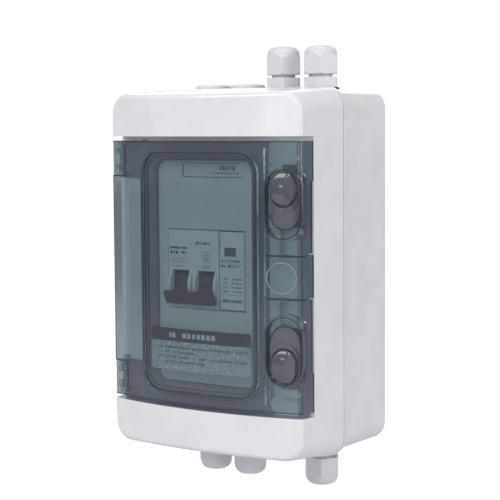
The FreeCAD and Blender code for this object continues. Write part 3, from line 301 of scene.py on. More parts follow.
def make_materials(look):
    """Every finish of the object by its slot in the record, and those of the added pieces."""
    return {
        # injection-moulded ABS: even, glossy, with a soft sheen along its rounded edges
        "enclosure_abs": moulded("Moulded ABS light grey gloss", look.housing_colour, 0.22, 1.4, 0.0015,
                                 **{"Coat Weight": 0.25, "Coat Roughness": 0.08}),
        # the same moulding darkened into painted shade, for where the door and the deep recess keep the light
        # off it: flatter and bluer
        "recess_abs": moulded("Moulded ABS with painted shade in the door recess", look.recess_shade_colour, 0.4, 0.9, 0.004),
        # pad printing: matt, very slightly broken
        "ink": moulded("Pad-printed ink", look.print_colour, 0.5, 0.4, 0.002),
        "band_ink": moulded("Screen-printed dark band", look.band_colour, 0.6, 0.5, 0.002,
                            **{"Specular IOR Level": 0.1}),
        "pale_ink": moulded("Screen-printed pale ink", linear("#D8DBDE"), 0.5, 0.4, 0.002),
        "bubbled_film": bubbled_film(),
        # the cover plate round the devices is satin, so it shows no sharp reflection
        "panel_abs": moulded("Moulded ABS light grey satin", look.panel_colour, 0.42, 0.5, 0.006),
        # clear smoke-coloured polycarbonate: sharp reflections over a cool grey see-through, with a faint
        # painted reflection haze
        "door_tinted": clear_plastic("Polycarbonate smoke tint", look.door_tint, 0.03, 6.0, 0.0006, 0.035),
        # the latches carry a heavier painted reflection haze, on a quarter of their surface
        "latch_tinted": clear_plastic("Polycarbonate smoke tint, thick moulding", look.latch_tint, 0.12, 2.0,
                                      0.001, 0.25, linear("#8A9096")),
        # the domes are thick enough to look nearly solid, with a bright soft streak
        "dome": moulded("Polycarbonate smoke tint, solid moulding", look.dome_colour, 0.12, 1.5, 0.0005,
                        **{"Coat Weight": 1.0, "Coat Roughness": 0.08}),
        # dark lines of painted shade where the door's plastic is seen edge on, and painted shadows at the
        # latches' feet
        "edge_smoke": moulded("Polycarbonate smoke tint, painted edge shade", look.edge_shade_colour, 0.25, 0.6, 0.002),
        # a pale painted highlight for the rib round the knock-out
        "edge_pale": moulded("Polycarbonate rib, painted highlight", linear("#8F999E"), 0.3, 0.6, 0.002),
        "seal_rubber": moulded("Foamed silicone grey", linear("#8B8E90"), 0.75, 0.6, 0.03),
        "seal_dark": moulded("EPDM seal behind the door", look.seal_colour, 0.6, 0.5, 0.02),
        "washer_black": moulded("EPDM washer black", linear("#17181A"), 0.55, 0.5, 0.02),
        "label_film": moulded("Polyester film", linear("#C9CED1"), 0.35, 0.8, 0.004),
        # bright zinc with a slightly mottled tone
        "steel_zinc": metal("Zinc-plated steel", linear("#C9CCD0"), 0.3, 0.25, 0.003),
        "spring_steel": metal("Drawn spring steel", linear("#8E9297"), 0.28, 0.15, 0.002),
        "rail_steel": metal("Passivated steel rail", linear("#CFD2D4"), 0.36, 0.4, 0.003),
        "brass": metal("Turned brass", linear("#D9BC74"), 0.3, 0.2, 0.003),
        "copper_parts": metal("Drawn copper", linear("#D08C62"), 0.32, 0.2, 0.003),
        # fine spark-eroded texture of breaker cases
        "module_case": moulded("Moulded PBT light grey", look.device_colour, 0.48, 0.35, 0.006),
        "toggle_black": moulded("Moulded nylon dark grey", look.toggle_colour, 0.42, 0.35, 0.006),
        "clip_nylon": moulded("Moulded nylon grey", linear("#9A9EA0"), 0.5, 0.4, 0.006),
        # cable glands: nylon with a slight waxy sheen
        "gland_nylon": moulded("Moulded nylon white grey", look.gland_colour, 0.38, 0.7, 0.006),
        "flag_green": moulded("Moulded acetal grey green", look.flag_colour, 0.4, 0.5, 0.004),
        "clear_window": clear_plastic("Acrylic window", linear("#E6EAE9"), 0.03, 2.0, 0.0005),
        "varistor_coat": moulded("Epoxy coating blue", linear("#2F5F9E"), 0.3, 1.2, 0.02),
        "wire_red": moulded("Extruded PVC red", linear("#B5271F"), 0.38, 0.6, 0.004),
        "wire_green": moulded("Extruded PVC green", linear("#4E9B3C"), 0.38, 0.6, 0.004),
    }


finishes = {}


# ------------------------------------------------------------------ settings
def colour_property(name, description, code):
    """A colour setting whose default is an sRGB hex string."""
    return bpy.props.FloatVectorProperty(
        name=name, description=description, subtype="COLOR", size=4, min=0.0, max=1.0, default=linear(code))


def length_property(name, description, millimetres):
    """A length setting in metres whose default is given in millimetres."""
    return bpy.props.FloatProperty(
        name=name, description=description, default=millimetres * MM, min=0.0, unit="LENGTH",
        subtype="DISTANCE")


class CombinerBoxSettings(bpy.types.PropertyGroup):
    """Sizes and colours that a user would change"""
    edge_round: length_property("Housing edges", "Radius on the hard edges of the housing", 0.35)
    door_edge: length_property("Door edges", "Radius on the hard edges of the door", 0.3)
    toggle_edge: length_property("Toggle edges", "Radius on the edges of the breaker's handle", 0.9)
    band_height: length_property("Label band", "Height of the dark band on the door's label", 7.6)
    # the tray line is a dark line of painted shade
    tray_line: length_property("Tray line", "Width of the painted shade line round each latch tray", 0.55)
    housing_colour: colour_property("Housing", "Colour of the base and the front cover", "#E1E2E4")
    # the recess colour is painted shade: the housing moulding darkened where little light reaches it
    recess_shade_colour: colour_property("Recess", "Colour of the cover behind the door, darkened as painted shade", "#8F8F9D")
    panel_colour: colour_property("Panel", "Colour of the plate round the devices", "#DEDFE1")
    door_tint: colour_property("Door", "Tint of the door", "#B0BEC2")
    latch_tint: colour_property("Latches", "Tint of the latches", "#B0BBC0")
    dome_colour: colour_property("Latch domes", "Colour of the latches' thumb domes", "#474D56")
    # the door lines are painted shade
    edge_shade_colour: colour_property("Door shade lines", "Painted shade colour of the door's thick edges", "#272A31")
    seal_colour: colour_property("Door seal", "Colour of the seal round the window", "#7C808C")
    device_colour: colour_property("Devices", "Colour of the modular devices", "#ECEDED")
    toggle_colour: colour_property("Toggle", "Colour of the breaker's handle", "#373B43")
    gland_colour: colour_property("Glands", "Colour of the cable glands and plugs", "#D7D7DC")
    flag_colour: colour_property("Status flag", "Colour of the surge protector's flag", "#76857F")
    print_colour: colour_property("Print", "Colour of the printed rows", "#3A4349")
    band_colour: colour_property("Label band colour", "Colour of the band on the door's label", "#14141B")


# ------------------------------------------------------------------ operators
class COMBINER_OT_studio(bpy.types.Operator):
    """Floor, soft studio lights, white surround and camera"""
    bl_idname = "combiner.studio"
    bl_label = "Studio"

    def execute(self, context):
        make_world(context.scene)
        make_floor()
        make_lights()
        make_camera(context.scene)
        return {"FINISHED"}


def make_world(scene):
    """A white surround for the eye, and a dimmer one for the light that it sheds."""
    world = bpy.data.worlds.new("Studio")
    scene.world = world
    world.use_nodes = True
    tree = world.node_tree
    tree.nodes.clear()
    seen = add(tree, "ShaderNodeBackground", {"Color": (1, 1, 1, 1), "Strength": 1.0})
    shed = add(tree, "ShaderNodeBackground", {"Color": (0.97, 0.985, 1, 1), "Strength": 0.42})
    path = add(tree, "ShaderNodeLightPath")
    mix = add(tree, "ShaderNodeMixShader",
              {0: path.outputs["Is Camera Ray"], 1: shed.outputs[0], 2: seen.outputs[0]})
    add(tree, "ShaderNodeOutputWorld", {"Surface": mix.outputs[0]})
    scene.view_settings.view_transform = "Standard"


FLOOR_Z = -0.26
FLOOR_HALF = 6.0                      # half the side of the floor


def make_floor():
    """A pale floor under the box, well below its glands."""
    bm = bmesh.new()
    corners = [bm.verts.new((x * FLOOR_HALF, y * FLOOR_HALF, FLOOR_Z))
               for x, y in ((-1, -1), (1, -1), (1, 1), (-1, 1))]
    bm.faces.new(corners)
    mesh = bpy.data.meshes.new("floor")
    bm.to_mesh(mesh)
    bm.free()
    floor = bpy.data.objects.new("floor", mesh)
    bpy.context.scene.collection.objects.link(floor)
    material, tree, where = blank_material("Pale painted floor")
    paint_coat = add(tree, "ShaderNodeBsdfPrincipled", {
        "Base Color": cloudy_colour(tree, where, 900.0, linear("#D0D0D2"), 0.97), "Roughness": 0.9})
    bright = add(tree, "ShaderNodeEmission", {"Color": (1, 1, 1, 1), "Strength": 1.12})
    path = add(tree, "ShaderNodeLightPath")
    share = add(tree, "ShaderNodeMath", {0: path.outputs["Is Camera Ray"], 1: 0.88}, operation="MULTIPLY")
    mix = add(tree, "ShaderNodeMixShader",
              {0: share.outputs[0], 1: paint_coat.outputs[0], 2: bright.outputs[0]})
    add(tree, "ShaderNodeOutputMaterial", {"Surface": mix.outputs[0]})
    mesh.materials.append(material)


TARGET = Vector((4.447, -50.0, 10.401)) * MM


def make_lights():
    """Large soft boxes: above and to the left in front, to the right, on top and behind."""
    plan = (
        ("key", (-0.55, -1.55, 1.1), 1.3, 1.0, 13.2),
        ("front_high", (0.6, -1.9, 1.1), 1.4, 0.7, 7.2),
        ("right", (1.8, -0.25, 0.5), 1.2, 1.2, 11.5),
        ("top", (0.1, -0.2, 1.9), 1.2, 1.0, 8.0),
        ("back", (-0.9, 1.6, 0.9), 1.4, 1.0, 8.0),
        ("window", (-0.20, -2.05, 0.0985), 0.34, 0.07, 0.35),
        ("streak", (0.52, -1.88, 0.3), 0.26, 0.8, 3.0),
    )
    for name, place, width, height, power in plan:
        data = bpy.data.lights.new(name, "AREA")
        data.shape = "RECTANGLE"
        data.size, data.size_y, data.energy = width, height, power
        lamp = bpy.data.objects.new(name, data)
        bpy.context.scene.collection.objects.link(lamp)
        lamp.location = place
        lamp.rotation_euler = (Vector(place) - TARGET).to_track_quat("Z", "Y").to_euler()


CAMERA_YAW, CAMERA_ELEVATION, CAMERA_ROLL = (math.radians(a) for a in (34.419, 4.797, -0.41))
CAMERA_DISTANCE = 896.544 * MM
CAMERA_LENS = 109.895                 # mm, on a 36 mm sensor


def make_camera(scene):
    """A long lens to the right of the box and a little above its middle."""
    data = bpy.data.cameras.new("camera")
    data.sensor_width = 36.0
    data.lens = CAMERA_LENS
    data.clip_start, data.clip_end = 0.01, 50.0
    camera = bpy.data.objects.new("camera", data)
    scene.collection.objects.link(camera)
    level = math.cos(CAMERA_ELEVATION)
    back = Vector((math.sin(CAMERA_YAW) * level, -math.cos(CAMERA_YAW) * level, math.sin(CAMERA_ELEVATION)))
    turn = Matrix.Rotation(CAMERA_ROLL, 4, back) @ back.to_track_quat("Z", "Y").to_matrix().to_4x4()
    camera.matrix_world = Matrix.Translation(TARGET + back * CAMERA_DISTANCE) @ turn
    scene.camera = camera


# heights between which the cover's recess is given painted shade
RECESS_LOW, RECESS_HIGH = -77.7 * MM, 74.8 * MM      # the strip above the door is in plain light
PAD_DEPTH = 3.6 * MM                  # the pads beside the hinge stand this close behind the door
PAD_HALF_H = 53.0 * MM
HINGE_SIDE_X = -50.0 * MM             # left of this the cover rounds off towards the hinge
STRIP_X = 43.0 * MM                   # right of this the recess lies under the latches
SIDE_RECESS_X = (60.5 * MM, 65.2 * MM)


def in_painted_shade(centre):
    """True for a place on the cover round the window that gets painted shade: a place that only light through
    the door reaches.
    """
    depth = centre.y - bow_y(centre.x)
    inside = RECESS_LOW < centre.z < RECESS_HIGH and depth > PAD_DEPTH and centre.y < -77.0 * MM
    beside_hinge = centre.x < HINGE_SIDE_X and abs(centre.z) < PAD_HALF_H
    right = centre.x < STRIP_X or SIDE_RECESS_X[0] < centre.x < SIDE_RECESS_X[1]
    return inside and right and not beside_hinge


def bowed_cap(bm, x, z, radius, depth, thickness, segments=48):
    """Adds a thin cap that lies along the bow, with a slightly chamfered rim."""
    rings = ((depth, radius - 0.15 * MM), (depth + 0.12 * MM, radius), (depth + thickness, radius))
    loops = []
    for d, r in rings:
        turns = [2 * math.pi * k / segments for k in range(segments)]
        loops.append([bm.verts.new((x + r * math.cos(t), bow_y(x + r * math.cos(t), d), z + r * math.sin(t)))
                      for t in turns])
    for first, second in zip(loops, loops[1:]):
        for k in range(segments):
            n = (k + 1) % segments
            bm.faces.new((first[k], first[n], second[n], second[k]))
    bm.faces.new(loops[0][::-1])
    bm.faces.new(loops[-1])


def mesh_from(bm, name):
    """Closes a bmesh into a new mesh with its faces outward."""
    bmesh.ops.recalc_face_normals(bm, faces=bm.faces)
    mesh = bpy.data.meshes.new(name)
    bm.to_mesh(mesh)
    bm.free()
    return mesh


CAP_R = 4.25 * MM                     # caps that hide the cover screws
CAP_INSET = 3.8 * MM                  # radius of a screw head
CAP_DEPTH = 10.52 * MM                # just behind the recess floor
CAP_THICKNESS = 0.45 * MM
PLATE_EDGE = 0.15 * MM                # radius on the edges of the plate round the devices


class COMBINER_OT_enclosure(bpy.types.Operator):
    """Base, front cover with painted shade in its recess, its screw caps, and the plate round the devices"""
    bl_idname = "combiner.enclosure"
    bl_label = "Enclosure"

    def execute(self, context):
        width = context.scene.combiner_box.edge_round
        smooth_node("base_shell", "housing_base", finishes["enclosure_abs"], width)
        cover = smooth_node("front_cover", "housing_cover", finishes["enclosure_abs"], width,
                            (-PAD_HALF_H, PAD_HALF_H, RECESS_HIGH))
        # faces round the window get the darker recess finish, which is painted shade
        cover.data.materials.append(finishes["recess_abs"])
        for face in cover.data.polygons:
            face.material_index = int(in_painted_shade(face.center))
        smooth_node("module_panel", "device_panel", finishes["panel_abs"], PLATE_EDGE)
        low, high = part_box("cover_screws")
        bm = bmesh.new()
        for x in (low.x + CAP_INSET, high.x - CAP_INSET):
            for z in (low.z + CAP_INSET, high.z - CAP_INSET):
                bowed_cap(bm, x, z, CAP_R, CAP_DEPTH, CAP_THICKNESS)
        caps = new_piece("screw_caps", mesh_from(bm, "screw_caps"), finishes["enclosure_abs"], "enclosure")
        # caps left of the latch strip get the same painted shade
        caps.data.materials.append(finishes["recess_abs"])
        for face in caps.data.polygons:
            face.material_index = int(face.center.x < STRIP_X)
        return {"FINISHED"}


LATCH_X, LATCH_Z = 55.4 * MM, 40.4 * MM
TRAY_HALF = (9.9 * MM, 18.7 * MM)


def rounded_outline(half_w, half_h, radius, steps=12, straights=20):
    """Outline of a rounded rectangle about the origin, as (x, z); a slot when radius equals half_w.

    Its straight sides are divided too, so that it can follow the bow."""
    corners = []
    for quarter, (sx, sz) in enumerate(((1, 1), (-1, 1), (-1, -1), (1, -1))):
        turns = [math.pi / 2 * (quarter + k / steps) for k in range(steps + 1)]
        corners.append([(sx * (half_w - radius) + radius * math.cos(t),
                         sz * (half_h - radius) + radius * math.sin(t)) for t in turns])
    points = []
    for arc, following in zip(corners, corners[1:] + corners[:1]):
        points += arc
        (x0, z0), (x1, z1) = arc[-1], following[0]
        points += [(x0 + (x1 - x0) * k / straights, z0 + (z1 - z0) * k / straights)
                   for k in range(1, straights)]
    return points


def lower_arc(half_w, rise, steps=20):
    """A smile-shaped arc about the origin, half_w to each side and rise deep, as (x, z)."""
    return [(half_w * math.cos(math.pi * (1 + k / steps)), rise * math.sin(math.pi * (1 + k / steps)))
            for k in range(steps + 1)]


def bowed_band(bm, inner, outer, centre, front, back, closed=True):
    """Adds a flat band between two outlines, lying along the bow between two depths."""
    loops = []
    for points, depth in ((inner, front), (outer, front), (outer, back), (inner, back)):
        loops.append([bm.verts.new((centre[0] + x, bow_y(centre[0] + x, depth), centre[1] + z))
                      for x, z in points])
    count = len(inner)
    for i in range(4):
        first, second = loops[i], loops[(i + 1) % 4]
        for k in range(count if closed else count - 1):
            n = (k + 1) % count
            bm.faces.new((first[k], first[n], second[n], second[k]))
    if not closed:
        bm.faces.new([loop[0] for loop in loops])
        bm.faces.new([loop[-1] for loop in reversed(loops)])


def bowed_block(bm, x0, x1, z0, z1, front, back, columns=8):
    """Adds a block that follows the bow, between two depths."""
    sections = []
    for i in range(columns + 1):
        x = x0 + (x1 - x0) * i / columns
        sections.append([bm.verts.new((x, bow_y(x, depth), z))
                         for depth, z in ((front, z0), (front, z1), (back, z1), (back, z0))])
    for first, second in zip(sections, sections[1:]):
        for k in range(4):
            n = (k + 1) % 4
            bm.faces.new((first[k], second[k], second[n], first[n]))
    bm.faces.new(sections[0])
    bm.faces.new(sections[-1][::-1])


RIB_Z = 11.9 * MM                     # ribs above and below the knock-out
HINGE_BLOCK_Z = 54.6 * MM             # inner end of each hinge block
DOME_LOW, DOME_DEPTH = 39.3 * MM, 2.0 * MM
DOME_Z, DOME_HALF = 48.9 * MM, (7.3 * MM, 9.3 * MM)
DOME_FOOT, DOME_MIDDLE_Z = 39.2 * MM, 46.6 * MM
PLATE_FOOT = 27.0 * MM


# dark bars of painted shade on the door: x0, x1, z0, z1, front and back depth in mm, each with its mirror
# image below the middle
DOOR_BARS = (
    (44.6, 64.4, RIB_Z / MM - 0.45, RIB_Z / MM + 0.45, 2.4, 4.9),
    (-65.3, 65.3, 74.35, 74.9, 0.06, 0.7),
    (-65.2, -53.4, HINGE_BLOCK_Z / MM - 0.5, HINGE_BLOCK_Z / MM + 0.4, 0.06, 0.9),
    (-54.3, -53.4, HINGE_BLOCK_Z / MM, 72.5, 0.06, 0.9),
)
# painted shade lines on the window's two steps: half width, half height, corner radius, line width and depth
# in mm of each step
WINDOW_STEPS = ((38.4, 68.0, 10.8, 0.75, 0.7), (36.2, 65.8, 8.6, 0.4, 2.45))


def painted_shade_lines(line):
    """Dark lines of painted shade on the door edges, hinge blocks, window step, latch trays and ribs, where
    the plastic is seen edge on.
    """
    bm = bmesh.new()
    for side in (1, -1):
        bowed_band(bm, rounded_outline(*TRAY_HALF, TRAY_HALF[0]),
                   rounded_outline(TRAY_HALF[0] + line, TRAY_HALF[1] + line, TRAY_HALF[0] + line),
                   (LATCH_X, side * LATCH_Z), 0.02 * MM, 0.6 * MM)
        for x0, x1, z0, z1, front, back in DOOR_BARS:
            low, high = sorted((side * z0 * MM, side * z1 * MM))
            bowed_block(bm, x0 * MM, x1 * MM, low, high, front * MM, back * MM)
    bowed_block(bm, -65.4 * MM, -64.9 * MM, -HINGE_BLOCK_Z, HINGE_BLOCK_Z, 0.06 * MM, 0.6 * MM, 2)
    for half_w, half_h, radius, width, front in WINDOW_STEPS:
        bowed_band(bm, rounded_outline(half_w * MM, half_h * MM, radius * MM),
                   rounded_outline((half_w + width) * MM, (half_h + width) * MM, (radius + width) * MM),
                   (0.0, 0.0), front * MM, (front + 0.5) * MM)
    return mesh_from(bm, "door_painted_shade_lines")


def thumb_dome(centre, half_w, half_h, depth, height, rings=14):
    """A smooth oval dome standing on the bow, half_w by half_h at its foot."""
    bm = bmesh.new()
    outline = rounded_outline(half_w, half_h, half_w, 10, 4)
    loops = []
    for i in range(rings):
        turn = math.pi / 2 * i / rings
        share, lift = math.cos(turn), height * math.sin(turn) ** 0.9
        loops.append([bm.verts.new((centre[0] + x * share, bow_y(centre[0] + x * share, depth - lift),
                                    centre[1] + z * share)) for x, z in outline])
    top = bm.verts.new((centre[0], bow_y(centre[0], depth - height), centre[1]))
    count = len(outline)
    for first, second in zip(loops, loops[1:]):
        for k in range(count):
            n = (k + 1) % count
            bm.faces.new((first[k], first[n], second[n], second[k]))
    for k in range(count):
        bm.faces.new((loops[-1][k], loops[-1][(k + 1) % count], top))
    bm.faces.new(loops[0][::-1])
    bmesh.ops.remove_doubles(bm, verts=bm.verts, dist=1e-7)
    mesh = mesh_from(bm, "thumb_dome")
    mesh.shade_smooth()
    return mesh


def latch_lines(side, line):
    """Curved dark lines of painted shadow at the foot of a slider's dome and at the foot of its plate."""
    bm = bmesh.new()
    for half_w, rise, middle, depth in ((7.0 * MM, DOME_MIDDLE_Z - DOME_FOOT, DOME_MIDDLE_Z, 0.5 * MM),
                                        (8.0 * MM, 8.0 * MM, PLATE_FOOT + 8.0 * MM, 1.66 * MM)):
        inner, outer = lower_arc(half_w, rise), lower_arc(half_w + line, rise + line)
        if side < 0:
            inner, outer = [(x, -z) for x, z in inner], [(x, -z) for x, z in outer]
        bowed_band(bm, inner, outer, (LATCH_X, side * middle), depth, depth + 0.4 * MM, closed=False)
    return mesh_from(bm, "latch_lines")


SEAL_INNER = (36.9 * MM, 66.5 * MM, 9.3 * MM)     # half width, half height and corner radius
SEAL_OUTER = (38.5 * MM, 68.1 * MM, 10.9 * MM)
SEAL_DEPTHS = (2.26 * MM, 3.38 * MM)
KNOCK_OUT_X, KNOCK_OUT_R = LATCH_X - 1.0 * MM, 8.3 * MM
KNOCK_OUT_LINE = 0.45 * MM


class COMBINER_OT_door(bpy.types.Operator):
    """Tinted door, dark lines of painted shade where its plastic is seen edge on, its seal, and a pale ring
    of painted highlight round the knock-out
    """
    bl_idname = "combiner.door"
    bl_label = "Door"

    def execute(self, context):
        look = context.scene.combiner_box
        smooth_node("door", "door_shell", finishes["door_tinted"], look.door_edge)
        # dark lines of painted shade on the door's edges, steps, trays and ribs
        new_piece("door_painted_shade_lines", painted_shade_lines(look.tray_line), finishes["edge_smoke"], "door")
        bm = bmesh.new()
        bowed_band(bm, rounded_outline(*SEAL_INNER), rounded_outline(*SEAL_OUTER), (0.0, 0.0), *SEAL_DEPTHS)
        new_piece("door_seal", mesh_from(bm, "door_seal"), finishes["seal_dark"], "door",
                  ("door_gasket",))
        # a pale ring of painted highlight round the knock-out
        bm = bmesh.new()
        outer = KNOCK_OUT_R + KNOCK_OUT_LINE
        bowed_band(bm, rounded_outline(KNOCK_OUT_R, KNOCK_OUT_R, KNOCK_OUT_R),
                   rounded_outline(outer, outer, outer), (KNOCK_OUT_X, 0.0), 0.03 * MM, 0.4 * MM)
        new_piece("knock_out_painted_highlight", mesh_from(bm, "knock_out_painted_highlight"), finishes["edge_pale"], "door")
        return {"FINISHED"}


SLIDER_EDGE = 0.25 * MM
DOME_SINK, DOME_HEIGHT = 0.9 * MM, 2.1 * MM       # foot of the dome behind the bow, and its rise


def closing_spring(node, name, material):
    """A latch spring: the CAD coil joined, shaded smooth and put on a mesh of its own, in place of the CAD
    node.
    """
    mesh = merged_copy(node)
    mesh.name = name
    mesh.shade_smooth()
    coil = new_piece(name, mesh, material, frame["nodes"][node]["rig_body"], (node,))
    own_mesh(coil)


class COMBINER_OT_latches(bpy.types.Operator):
    """Sliding latches with dark domes, and the springs that close them"""
    bl_idname = "combiner.latches"
    bl_label = "Latches"

    def execute(self, context):
        line = context.scene.combiner_box.tray_line
        for side, node in ((1, "latch_upper"), (-1, "latch_lower")):
            slider = smooth_node(node, node + "_slider", finishes["latch_tinted"], SLIDER_EDGE)
            slider.data.materials.append(finishes["dome"])
            for face in slider.data.polygons:
                place = face.center
                in_dome = side * place.z > DOME_LOW and place.y - bow_y(place.x) < DOME_DEPTH
                face.material_index = int(in_dome)
            # dark lines of painted shadow at the feet of the dome and the plate
            new_piece(node + "_lines", latch_lines(side, 1.3 * line), finishes["edge_smoke"], node)
            dome = thumb_dome((LATCH_X, side * DOME_Z), *DOME_HALF, DOME_SINK, DOME_HEIGHT)
            new_piece(node + "_dome", dome, finishes["dome"], node)
            closing_spring(node.replace("latch", "latch_spring"), node + "_coil",
                           finishes["spring_steel"])
        return {"FINISHED"}


LABEL_DEPTH = 2.3 * MM                # the label sticks to the inside of the door
LABEL_THICKNESS = 0.12 * MM
LABEL_CORNER = 1.5 * MM


def bowed_sheet(name, low, high, depth, thickness, corners, columns=48):
    """A thin sheet on the bow between (x, z) low and high. corners = (top radius, bottom radius)."""
    def drop(x, radius):
        gap = radius - min(x - low[0], high[0] - x)
        return radius - math.sqrt(radius ** 2 - gap ** 2) if gap > 0 else 0.0

    middle = (low[0] + high[0]) / 2
    half = (high[0] - low[0]) / 2
    bm = bmesh.new()
    rows = []
    for i in range(columns + 1):
        x = middle - half * math.cos(math.pi * i / columns)
        top = high[1] - drop(x, corners[0])
        bottom = low[1] + drop(x, corners[1])
        rows.append([bm.verts.new((x, bow_y(x, depth + d), z)) for d, z in
                     ((0, bottom), (0, top), (thickness, top), (thickness, bottom))])
    for first, second in zip(rows, rows[1:]):
        for k in range(4):
            n = (k + 1) % 4
            bm.faces.new((first[k], second[k], second[n], first[n]))
    bm.faces.new(rows[0])
    bm.faces.new(reversed(rows[-1]))
    bmesh.ops.remove_doubles(bm, verts=bm.verts, dist=1e-7)
    return mesh_from(bm, name)


def print_rows_tree():
    """Rows of short printed strokes: a grid of thin slabs of random length, some of them left out."""
    tree = bpy.data.node_groups.new("Print rows", "GeometryNodeTree")
    tree.interface.new_socket("Geometry", in_out="OUTPUT", socket_type="NodeSocketGeometry")
    for name, kind in (("Width", "Float"), ("Height", "Float"), ("Columns", "Int"), ("Rows", "Int"),
                       ("Stroke height", "Float"), ("Thickness", "Float"), ("Fill", "Float"), ("Seed", "Int"),
                       ("Place", "Vector"), ("Ink", "Material")):
        tree.interface.new_socket(name, in_out="INPUT", socket_type="NodeSocket" + kind)
    given = add(tree, "NodeGroupInput").outputs
    grid = add(tree, "GeometryNodeMeshGrid", {"Size X": given["Width"], "Size Y": given["Height"],
                                              "Vertices X": given["Columns"], "Vertices Y": given["Rows"]})
    gaps = add(tree, "ShaderNodeMath", {0: given["Columns"], 1: 1.0}, operation="SUBTRACT")
    pitch = add(tree, "ShaderNodeMath", {0: given["Width"], 1: gaps.outputs[0]}, operation="DIVIDE")
    share = add(tree, "FunctionNodeRandomValue", {2: 0.35, 3: 0.95, "Seed": given["Seed"]}, data_type="FLOAT")
    length = add(tree, "ShaderNodeMath", {0: pitch.outputs[0], 1: share.outputs[1]}, operation="MULTIPLY")
    kept = add(tree, "FunctionNodeRandomValue", {"Probability": given["Fill"], "Seed": given["Seed"]},
               data_type="BOOLEAN")
    size = add(tree, "ShaderNodeCombineXYZ",
               {0: length.outputs[0], 1: given["Stroke height"], 2: given["Thickness"]})
    slab = add(tree, "GeometryNodeMeshCube", {"Size": (1.0, 1.0, 1.0)})
    strokes = add(tree, "GeometryNodeInstanceOnPoints", {
        "Points": grid.outputs["Mesh"], "Selection": kept.outputs[3], "Instance": slab.outputs["Mesh"],
        "Scale": size.outputs[0]})
    placed = add(tree, "GeometryNodeTransform", {
        "Geometry": strokes.outputs[0], "Translation": given["Place"], "Rotation": (math.pi / 2, 0.0, 0.0)})
    real = add(tree, "GeometryNodeRealizeInstances", {"Geometry": placed.outputs[0]})
    inked = add(tree, "GeometryNodeSetMaterial", {"Geometry": real.outputs[0], "Material": given["Ink"]})
    add(tree, "NodeGroupOutput", {"Geometry": inked.outputs[0]})
    return tree


def made_by_nodes(tree, **values):
    """The plain mesh that a node tree makes with these named inputs."""
    holder = bpy.data.objects.new("holder", bpy.data.meshes.new("holder"))
    bpy.context.scene.collection.objects.link(holder)
    modifier = holder.modifiers.new("Nodes", "NODES")
    modifier.node_group = tree
    for item in tree.interface.items_tree:
        if item.in_out == "INPUT" and item.name in values:
            modifier[item.identifier] = values[item.name]
    depsgraph = bpy.context.evaluated_depsgraph_get()
    mesh = bpy.data.meshes.new_from_object(holder.evaluated_get(depsgraph), depsgraph=depsgraph)
    bpy.data.objects.remove(holder)
    return mesh


def joined(name, meshes):
    """One mesh from several that share a material."""
    bm = bmesh.new()
    for mesh in meshes:
        bm.from_mesh(mesh)
    mesh = bpy.data.meshes.new(name)
    bm.to_mesh(mesh)
    bm.free()
    return mesh


def print_block(tree, centre, size, columns, rows, stroke, seed, fill=0.85):
    """A block of print: centre (x, y, z) and size (width, height) in millimetres."""
    return made_by_nodes(tree, **{
        "Width": size[0] * MM, "Height": size[1] * MM, "Columns": columns, "Rows": rows,
        "Stroke height": stroke * MM, "Thickness": 0.04 * MM, "Fill": fill, "Seed": seed,
        "Place": tuple(c * MM for c in centre), "Ink": finishes["ink"]})


NOSE_Y = -87.2                        # mm, front of the modular devices
PRINT_Y = NOSE_Y - 0.02
PLATE_Y = -86.45                      # mm, floor of the label field in the plate round the devices
# dark lines of painted shadow at the top, bottom and left edges of the recessed label field: x0, x1, z0, z1
# in mm
FIELD_SHADOW_LINES = ((-16.3, 25.7, 62.1, 62.45), (-16.3, 25.7, 54.15, 54.6), (-16.3, -15.8, 54.15, 62.45))


